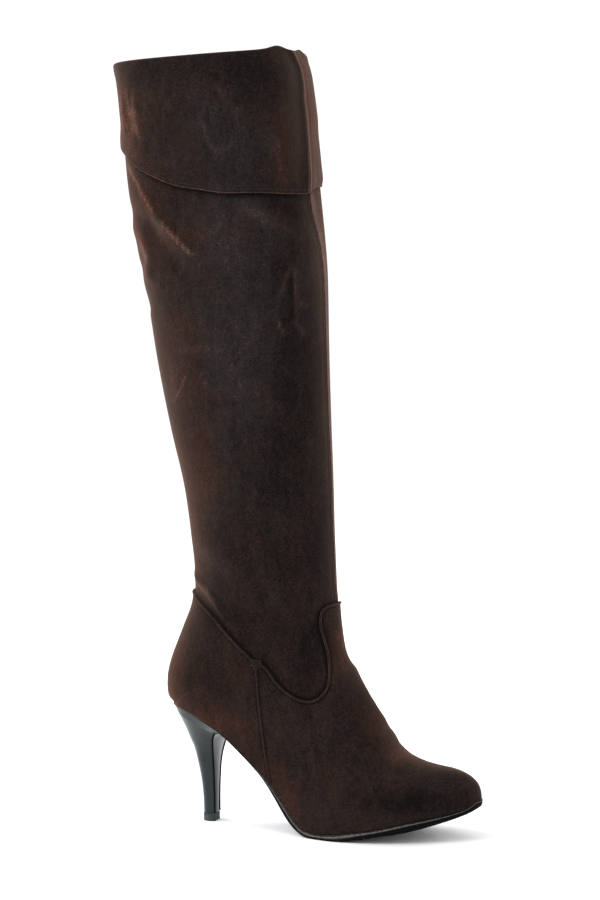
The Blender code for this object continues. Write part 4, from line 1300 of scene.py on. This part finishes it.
def make_cuff():
    """The cuff's rings from the hem round over the collar, their outward directions, and the hem."""
    rows = np.arange(TOP_ROW - 5, TOP_ROW + 0.01, ROW_STEP)
    shares, far = seam_columns(rows, CUFF_SEAM, beside=100)
    points, outward = form(rows, shares)
    around = shares[-1]
    shaft_up = unit((points[-1] - points[-1 - round(1 / ROW_STEP)]).mean(axis=0) * (1, 0, 1))
    hem = smooth(around, HEM[:, 0], HEM[:, 1]) + 1.3 * hump(around, PINCH, 0.04)
    out, hem_share, facing_share, rise = profile.T[..., None]
    depths = hem_share * hem + facing_share * CUFF_FACING
    values = np.concatenate([points, outward, far[..., None]], axis=2)
    found = read_columns(points[-1, :, 2] - depths, points[..., 2], values)
    place, away, apart = found[..., :3], found[..., 3:6], found[..., 6]
    outside = (out > 1.8) * (facing_share == 0)
    waves = sum(fold(place, *each) for each in CUFF_FOLDS) * rising(depths, 0, 8)
    groove = seam_groove(apart) * falling(place[..., 2], 476, 20)
    roll = 1.2 * hump(apart, -0.5, 4.5) + 0.4 * hump(apart, 9, 3)
    lift = out + outside * (waves + groove + roll)
    lift = lift - 1.5 * hump(depths, hem, 3.2) * hump(around, PINCH, 0.05)
    bumps = sum(high * hump(around, share, wide) for share, wide, high in RIM_BUMPS)
    rise = rise + bumps * falling(depths, 14, 14)
    rings = place + away * lift[..., None] + shaft_up * rise[..., None]
    faces = [face[::-1] for face in grid_faces(len(rings), len(hem), along=True)]
    marks = nap_and_painted_light(rings, strip_nap_light_and_shade(apart, place[..., 2]))
    make_piece("folded_cuff", rings.reshape(-1, 3), faces, suede, "suede", "cuff", marks=marks)
    return rings, away, hem


cuff_rings, cuff_away, hem = make_cuff()

# %% [markdown]
# Around the hem the suede is turned under, which shows as a thin lighter edge, and a row of
# stitches two millimetres above it holds the turning. Each stitch is a short thread that dives
# into the suede at both ends. All of them are one mesh.

# %% Stitches along a line
STITCH, STITCH_GAP = 1.9, 0.7
HEM_TO_STITCHES = 2.3
FINE = 0.1  # the line is first divided this finely, so that each stitch ends where it should


def stitches(line, lift):
    """Short arched threads along a line of points and outward directions."""
    line = evenly(line, FINE, 4)
    step = int((STITCH + STITCH_GAP) / FINE)
    parts = []
    for start in range(0, len(line) - step, step):
        picked = line[start:start + int(STITCH / FINE) + 1:4]
        arch = np.sin(np.linspace(0.15, np.pi - 0.15, len(picked)))[:, None]
        path = picked[:, :3] + picked[:, 3:6] * (lift - 0.45 + 0.55 * arch)
        parts.append(tube(path, picked[:, 3:6], 0.17, 0.15, 6))
    return parts


def at_depth(millimetres):
    """The cuff's outer face at a distance above its hem, as a line once round the leg."""
    above = (1 - profile[:OUTER_FACE, 1, None]) * hem
    outer = np.concatenate([cuff_rings, cuff_away], axis=2)[:OUTER_FACE]
    return read_columns(np.full((1, len(hem)), millimetres), above, outer)[0]


hem_stitches = together(stitches(at_depth(HEM_TO_STITCHES), 0.05))
make_piece("hem_stitches", *hem_stitches, thread, "suede")
hem_line = evenly(at_depth(0.0), 1.2)
hem_roll = tube(hem_line[:, :3] - hem_line[:, 3:] * 0.5, hem_line[:, 3:], 0.45, 0.6)
make_piece("hem_edge", *hem_roll, edge_suede, "suede", marks=nap_and_painted_light(hem_roll[0], 0.25))

# %% [markdown]
# ## The insole and the sole
# The sole follows the outline of the upper, moved outward in plan. Its edge is cut straight at the
# top, where it meets the suede, and is bevelled towards the tread. From the ball it rises along the
# arched waist to the front of the heel. Sole and insole are both plates, so one function fills in
# what lies between their two edges.

# %% Edges of the sole in plan
# station, height of the tread
UNDERSIDE = np.array([
    (46, 66.6), (50, 63.7), (60, 54.6), (70, 45.2), (79, 35.6), (86, 25.9), (92, 17.2),
    (98.5, 9.0), (104.5, 3.9), (109.5, 1.1), (115, 0), (135, 0), (143, 0.9), (153, 2.7),
    (167, 5.2), (180, 7.3), (192, 10.1), (205, 13.9), (215, 17.2), (224, 21.0), (228.9, 24.2),
])
BREAST = 46.0  # station where the sole ends and the heel's rim begins
UNDER_UPPER = 0.5  # sole and heel begin this far under the line of the upper
edge_rows = rows_between(0, HEEL_ROW, 1.4)
upper_edges = np.array([section(row, np.array([0.0, 0.02, 0.98, 1.0])) for row in edge_rows])


def sole_edges(offset):
    """Outer and inner edge of the foot's outline in plan, toe to heel, moved outward."""
    moved = []
    for edge, side in ((upper_edges[:, 0, :2], -1), (upper_edges[:, -1, :2], 1)):
        other = edge * (1, -1) + (0, 2 * edge[0, 1])
        whole = np.concatenate([other[1:2], edge, edge[-2:-1] * (1, -1)])
        along = whole[2:] - whole[:-2]
        away = np.stack([along[:, 1], -along[:, 0]], axis=1) * side
        moved.append(edge + offset * unit(away))
    return moved


def plate(sides, steps, crown=0.0):
    """Sections of a plate, from the outer and inner edges of its profile, filled in between them."""
    outer = np.array(sides[0::2])
    inner = np.array(sides[1::2])
    across = np.linspace(0, 1, steps)[1:-1, None, None]
    over = outer[-1] + (inner[-1] - outer[-1]) * across
    over[..., 2] += crown * np.sin(np.pi * across[..., 0])
    back = inner[0] + (outer[0] - inner[0]) * across
    return np.concatenate([outer, over, inner[::-1], back]).transpose(1, 0, 2)


print("stations along the sole:", len(edge_rows))

# %% Make the outsole
# out from the upper's outline, share of the edge's height
SOLE_PROFILE = np.concatenate([
    [(1.5, 1.0), (1.75, 0.985), (1.85, 0.95)],
    np.column_stack([np.full(14, 1.9), np.linspace(0.91, 0.46, 14)]),
    [(1.85, 0.42), (1.65, 0.3), (1.25, 0.1), (0.95, 0.02), (0.6, 0)],
])
# station, share of the edge's height at which the painted highlight line runs, and its half width
HIGHLIGHT_LINE = np.array([
    (60, 0.5, 0.06), (98, 0.52, 0.07), (112, 0.56, 0.16), (140, 0.6, 0.2), (160, 0.7, 0.12),
    (185, 0.8, 0.07), (229, 0.88, 0.06),
])
SOLE_STEPS = 14  # how many points lie across the tread, its two edges counted


def dust_and_highlight(stations, shares):
    """The mark along the sole's edge: a third in the dust above the painted highlight line, nearly 1
    on that line, 0 under it.
    """
    over = shares - np.interp(stations, HIGHLIGHT_LINE[:, 0], HIGHLIGHT_LINE[:, 1])
    half_width = np.interp(stations, HIGHLIGHT_LINE[:, 0], HIGHLIGHT_LINE[:, 2])
    return 0.33 * rising(over, -0.03, 0.06) + 0.67 * hump(over, 0, half_width)


def make_outsole():
    end = BREAST + 0.3
    sides = []
    for out, share in SOLE_PROFILE:
        for edge in sole_edges(out):
            kept = edge[edge[:, 0] > end]
            kept = np.vstack([kept, (end, np.interp(-end, -edge[:, 0], edge[:, 1]))])
            top = feather(kept[:, 0]) - UNDER_UPPER
            bottom = np.maximum(smooth(kept[:, 0], UNDERSIDE[:, 0], UNDERSIDE[:, 1]), 0)
            sides.append(np.column_stack([kept, bottom + share * (top - bottom)]))
    length = min(len(side) for side in sides)
    rings = plate([np.vstack([side[:length - 1], side[-1:]]) for side in sides], SOLE_STEPS)
    edge_shares = SOLE_PROFILE[:, 1]
    tread = np.zeros(SOLE_STEPS - 2)
    shares = np.concatenate([edge_shares, tread, edge_shares[::-1], tread + 1])
    make_piece(
        "moulded_outsole", *closed_form(rings, flipped=True), rubber, "sole_rubber", "outsole",
        marks={"dust_and_highlight_mark": dust_and_highlight(rings[..., 0], shares)}, sharp=45,
    )


make_outsole()

# %% [markdown]
# The insole is a cushioned board in the lining's cloth. It is seen only from above through the
# collar, but it closes the boot, so its edge is rounded like a real one.

# %% Make the insole
# in from the upper's outline, height over the joint
INSOLE_PROFILE = np.array([(2.4, 0.1), (2.4, 1.5), (2.6, 2.1), (3.1, 2.45), (3.8, 2.5)])
insole_sides = [
    np.column_stack([edge, feather(edge[:, 0]) + rise])
    for inset, rise in INSOLE_PROFILE for edge in sole_edges(-inset)
]
insole_form = closed_form(plate(insole_sides, 12, crown=0.35))
make_piece("cushioned_insole", *insole_form, lining, "lining", "insole")

# %% [markdown]
# ## The heel
# A slim heel is moulded around a steel pin. Its top follows the sole's outline as an upright rim,
# and below that it narrows quickly to a stem with a rounded back and a barely crowned breast. The
# sections across it are drawn by the same half sections as the upper's, and a smooth curve through
# the table's rows gives as many as the gloss needs.

# %% Table of the heel
# back_x, back_z, breast_x, breast_z, breast_half_width, half_width, widest, roundness, crown
HEEL = np.array([
    (5.5, 81.0, 39.5, 65.8, 19.6, 21.6, 0.35, 2.4, 0.8),
    (8.0, 75.5, 37.0, 62.4, 16.8, 18.8, 0.35, 2.3, 0.9),
    (10.6, 69.5, 35.6, 57.8, 14.0, 15.9, 0.37, 2.2, 1.0),
    (13.3, 62.0, 34.6, 52.5, 11.2, 12.8, 0.40, 2.1, 1.0),
    (16.8, 53.5, 34.0, 47.0, 8.9, 10.4, 0.42, 2.0, 0.9),
    (19.3, 44.0, 33.6, 39.5, 6.9, 8.6, 0.44, 2.0, 0.8),
    (21.8, 32.0, 33.5, 29.0, 5.6, 7.0, 0.45, 2.0, 0.7),
    (23.3, 20.0, 33.5, 18.5, 4.9, 6.0, 0.45, 2.0, 0.6),
    (24.0, 6.0, 33.6, 6.0, 4.7, 5.6, 0.45, 2.0, 0.5),
])
# shares of the way from the breast to the back, closer at the back, and of the way across the breast
HEEL_SHARES = np.sin(np.linspace(0, np.pi / 2, 34))
BREAST_SHARES = np.linspace(1, -1, 26)[1:-1]
# in one ring of points the heel's sides run up to this corner, and the breast follows
BREAST_CORNER = 2 * len(HEEL_SHARES) - 2
RIM_OUT = 1.3
print("points once round the heel:", BREAST_CORNER + 1 + len(BREAST_SHARES))

# %% Rings of the heel
def heel_ring(values):
    """Once round the heel: its sides from the breast round the back, and its crowned breast."""
    back_x, back_z, breast_x, breast_z, corner, half, widest, roundness, crown = values
    up, out = half_section(corner, half, widest, 2, roundness)
    widths = np.interp(HEEL_SHARES, up, out)
    sides = np.concatenate([-widths, widths[-2::-1]])
    shares = np.concatenate([HEEL_SHARES, HEEL_SHARES[-2::-1]])
    ring = np.column_stack([
        breast_x + (back_x - breast_x) * shares, sides, breast_z + (back_z - breast_z) * shares,
    ])
    face = np.column_stack([
        breast_x + crown * (1 - BREAST_SHARES**2), BREAST_SHARES * corner,
        np.full(len(BREAST_SHARES), breast_z),
    ])
    return np.concatenate([ring, face])


def seat_ring(inset):
    """Once round the heel's rim, which follows the upper's outline a little outside it."""
    outer, inner = sole_edges(RIM_OUT - inset)
    places = BREAST - (BREAST - outer[-1, 0]) * HEEL_SHARES
    sides = [np.interp(-places, -edge[:, 0], edge[:, 1]) for edge in (outer, inner)]
    around = np.concatenate([
        np.column_stack([places, sides[0]]), np.column_stack([places, sides[1]])[-2::-1],
    ])
    top = np.column_stack([around, feather(around[:, 0]) - UNDER_UPPER])
    corner = sides[1][0]
    front = np.column_stack([
        np.full(len(BREAST_SHARES), BREAST), BREAST_SHARES * corner,
        np.full(len(BREAST_SHARES), top[0, 2]),
    ])
    return np.concatenate([top, front])


print("width of the heel's tip:", round(np.ptp(heel_ring(HEEL[-1])[:, 1]), 1), "mm")

# %% Make the heel
# how far in from the rim, and how far down
RIM_PROFILE = [(0.4, 0), (0.12, 0.1), (0, 0.3), (0, 0.5)]


def make_heel():
    rings = [seat_ring(inset) - (0, 0, down) for inset, down in RIM_PROFILE]
    rim = rings[-1]
    first = heel_ring(HEEL[0])
    for share in (0.2, 0.4, 0.6, 0.8):
        rings.append(rim + (first - rim) * share)
    seams_start = len(rings) - 1
    for at in np.linspace(0, len(HEEL) - 1, 110):
        rings.append(heel_ring(smooth(at, np.arange(len(HEEL)), HEEL)))
    rings = np.array(rings)
    corners = [rings[seams_start:, i] for i in (0, BREAST_CORNER)]
    seams = [tube(path, np.tile([1.0, 0, 0], (len(path), 1)), 0.4, 0.75, 8) for path in corners]
    make_piece("breast_seams", *together(seams), rubber, "sole_rubber")
    # the breast gets painted shade, darker towards the bottom
    on_breast = np.arange(rings.shape[1]) > BREAST_CORNER
    make_piece(
        "lacquered_heel", *closed_form(rings, flipped=True), lacquer, "heel_plastic", "heel",
        marks={"shade": falling(rings[..., 2], 62, 26) * on_breast}, sharp=35,
    )


make_heel()

# %% [markdown]
# The top lift is the small hard rubber pad that the heel walks on. It stands out around the heel's
# end by a hair, and its edges are rounded by wear.

# %% Make the top lift
# out from the heel's end, height
LIFT_PROFILE = [
    (-0.4, 0), (0.0, 0.05), (0.15, 0.2), (0.2, 0.5), (0.2, 5.1), (0.1, 5.5), (-0.1, 5.65),
    (-0.5, 5.7),
]


def make_top_lift():
    without_crown = np.append(HEEL[-1, :-1], 0)
    plan = heel_ring(without_crown)[:, :2]
    along = np.roll(plan, -1, axis=0) - np.roll(plan, 1, axis=0)
    away = unit(np.column_stack([-along[:, 1], along[:, 0]]))
    rings = [np.column_stack([plan + away * out, np.full(len(plan), z)]) for out, z in LIFT_PROFILE]
    make_piece(
        "rubber_top_lift", *closed_form(rings), lift_rubber, "sole_rubber", "top_lift", sharp=60,
    )


make_top_lift()

# %% [markdown]
# ## The studio
# The boot stands on a wide white floor in a white room. One soft lamp stands on the left, a little
# higher than the boot, one hangs high in front on the left, and a weaker one behind on the right
# lights the shaft's front edge. The room itself fills the shadows.

# %% Floor and room
ROOM_LIGHT = 1.1
FLOOR_REACH = 30


def make_floor():
    mesh = bpy.data.meshes.new("floor")
    corners = FLOOR_REACH * np.array([(-1, -1, 0), (1, -1, 0), (1, 1, 0), (-1, 1, 0)])
    mesh.from_pydata(corners.tolist(), [], [(0, 1, 2, 3)])
    white = (0.94, 0.945, 0.955, 1)
    finish = start_finish("floor_white", Base_Color=white, Roughness=0.9, Specular_IOR_Level=0.1)[0]
    mesh.materials.append(finish)
    floor = bpy.data.objects.new("floor", mesh)
    bpy.context.scene.collection.objects.link(floor)


make_floor()
world = bpy.data.worlds.new("white room")
bpy.context.scene.world = world
world.use_nodes = True
walls = world.node_tree.nodes["Background"]
walls.inputs["Color"].default_value = (1, 1, 1, 1)
walls.inputs["Strength"].default_value = ROOM_LIGHT
bpy.context.scene.view_settings.view_transform = "Standard"
print("the room's light:", ROOM_LIGHT)

# %% Lamps
HALF_WAY_UP = mathutils.Vector((0, 0, 0.27))


def make_lamp(name, size, power, place):
    """A square soft lamp at a place in metres that shines at the middle of the boot."""
    lamp = bpy.data.lights.new(name, "AREA")
    lamp.size = size
    lamp.energy = power
    made = bpy.data.objects.new(name, lamp)
    made.location = place
    towards = HALF_WAY_UP - mathutils.Vector(place)
    made.rotation_euler = towards.to_track_quat("-Z", "Y").to_euler()
    bpy.context.scene.collection.objects.link(made)
    print(name, power, "W")


make_lamp("soft lamp on the left", 1.0, 26, (-1.7, 0.1, 0.9))
make_lamp("high lamp in front", 1.2, 24, (-1.1, -1.4, 1.9))
make_lamp("lamp behind on the right", 0.9, 13, (1.3, 1.1, 0.8))

# %% [markdown]
# The camera stands two metres from the boot's middle line, turned twenty degrees from its side
# towards the toe. It is about as high as the cuff's hem and looks slightly down, through a long
# lens, so that the boot isn't distorted.

# %% Camera
DISTANCE, TURN, DOWN = 2.0, np.radians(20), np.radians(5.11)
LENS = 115.27
AIM_STATION, LENS_HEIGHT = 96.31, 445.32
aim = np.array([AIM_STATION, 0, LENS_HEIGHT]) + ORIGIN
camera_data = bpy.data.cameras.new("camera")
camera_data.lens = LENS
camera = bpy.data.objects.new("camera", camera_data)
back = np.array([np.sin(TURN), -np.cos(TURN), 0])
camera.location = (aim * MM + DISTANCE * back).tolist()
view = mathutils.Vector((*(-back[:2] * np.cos(DOWN)).tolist(), -np.sin(DOWN)))
camera.rotation_euler = view.to_track_quat("-Z", "Y").to_euler()
bpy.context.scene.collection.objects.link(camera)
bpy.context.scene.camera = camera
print("camera at", np.round(camera.location, 3))
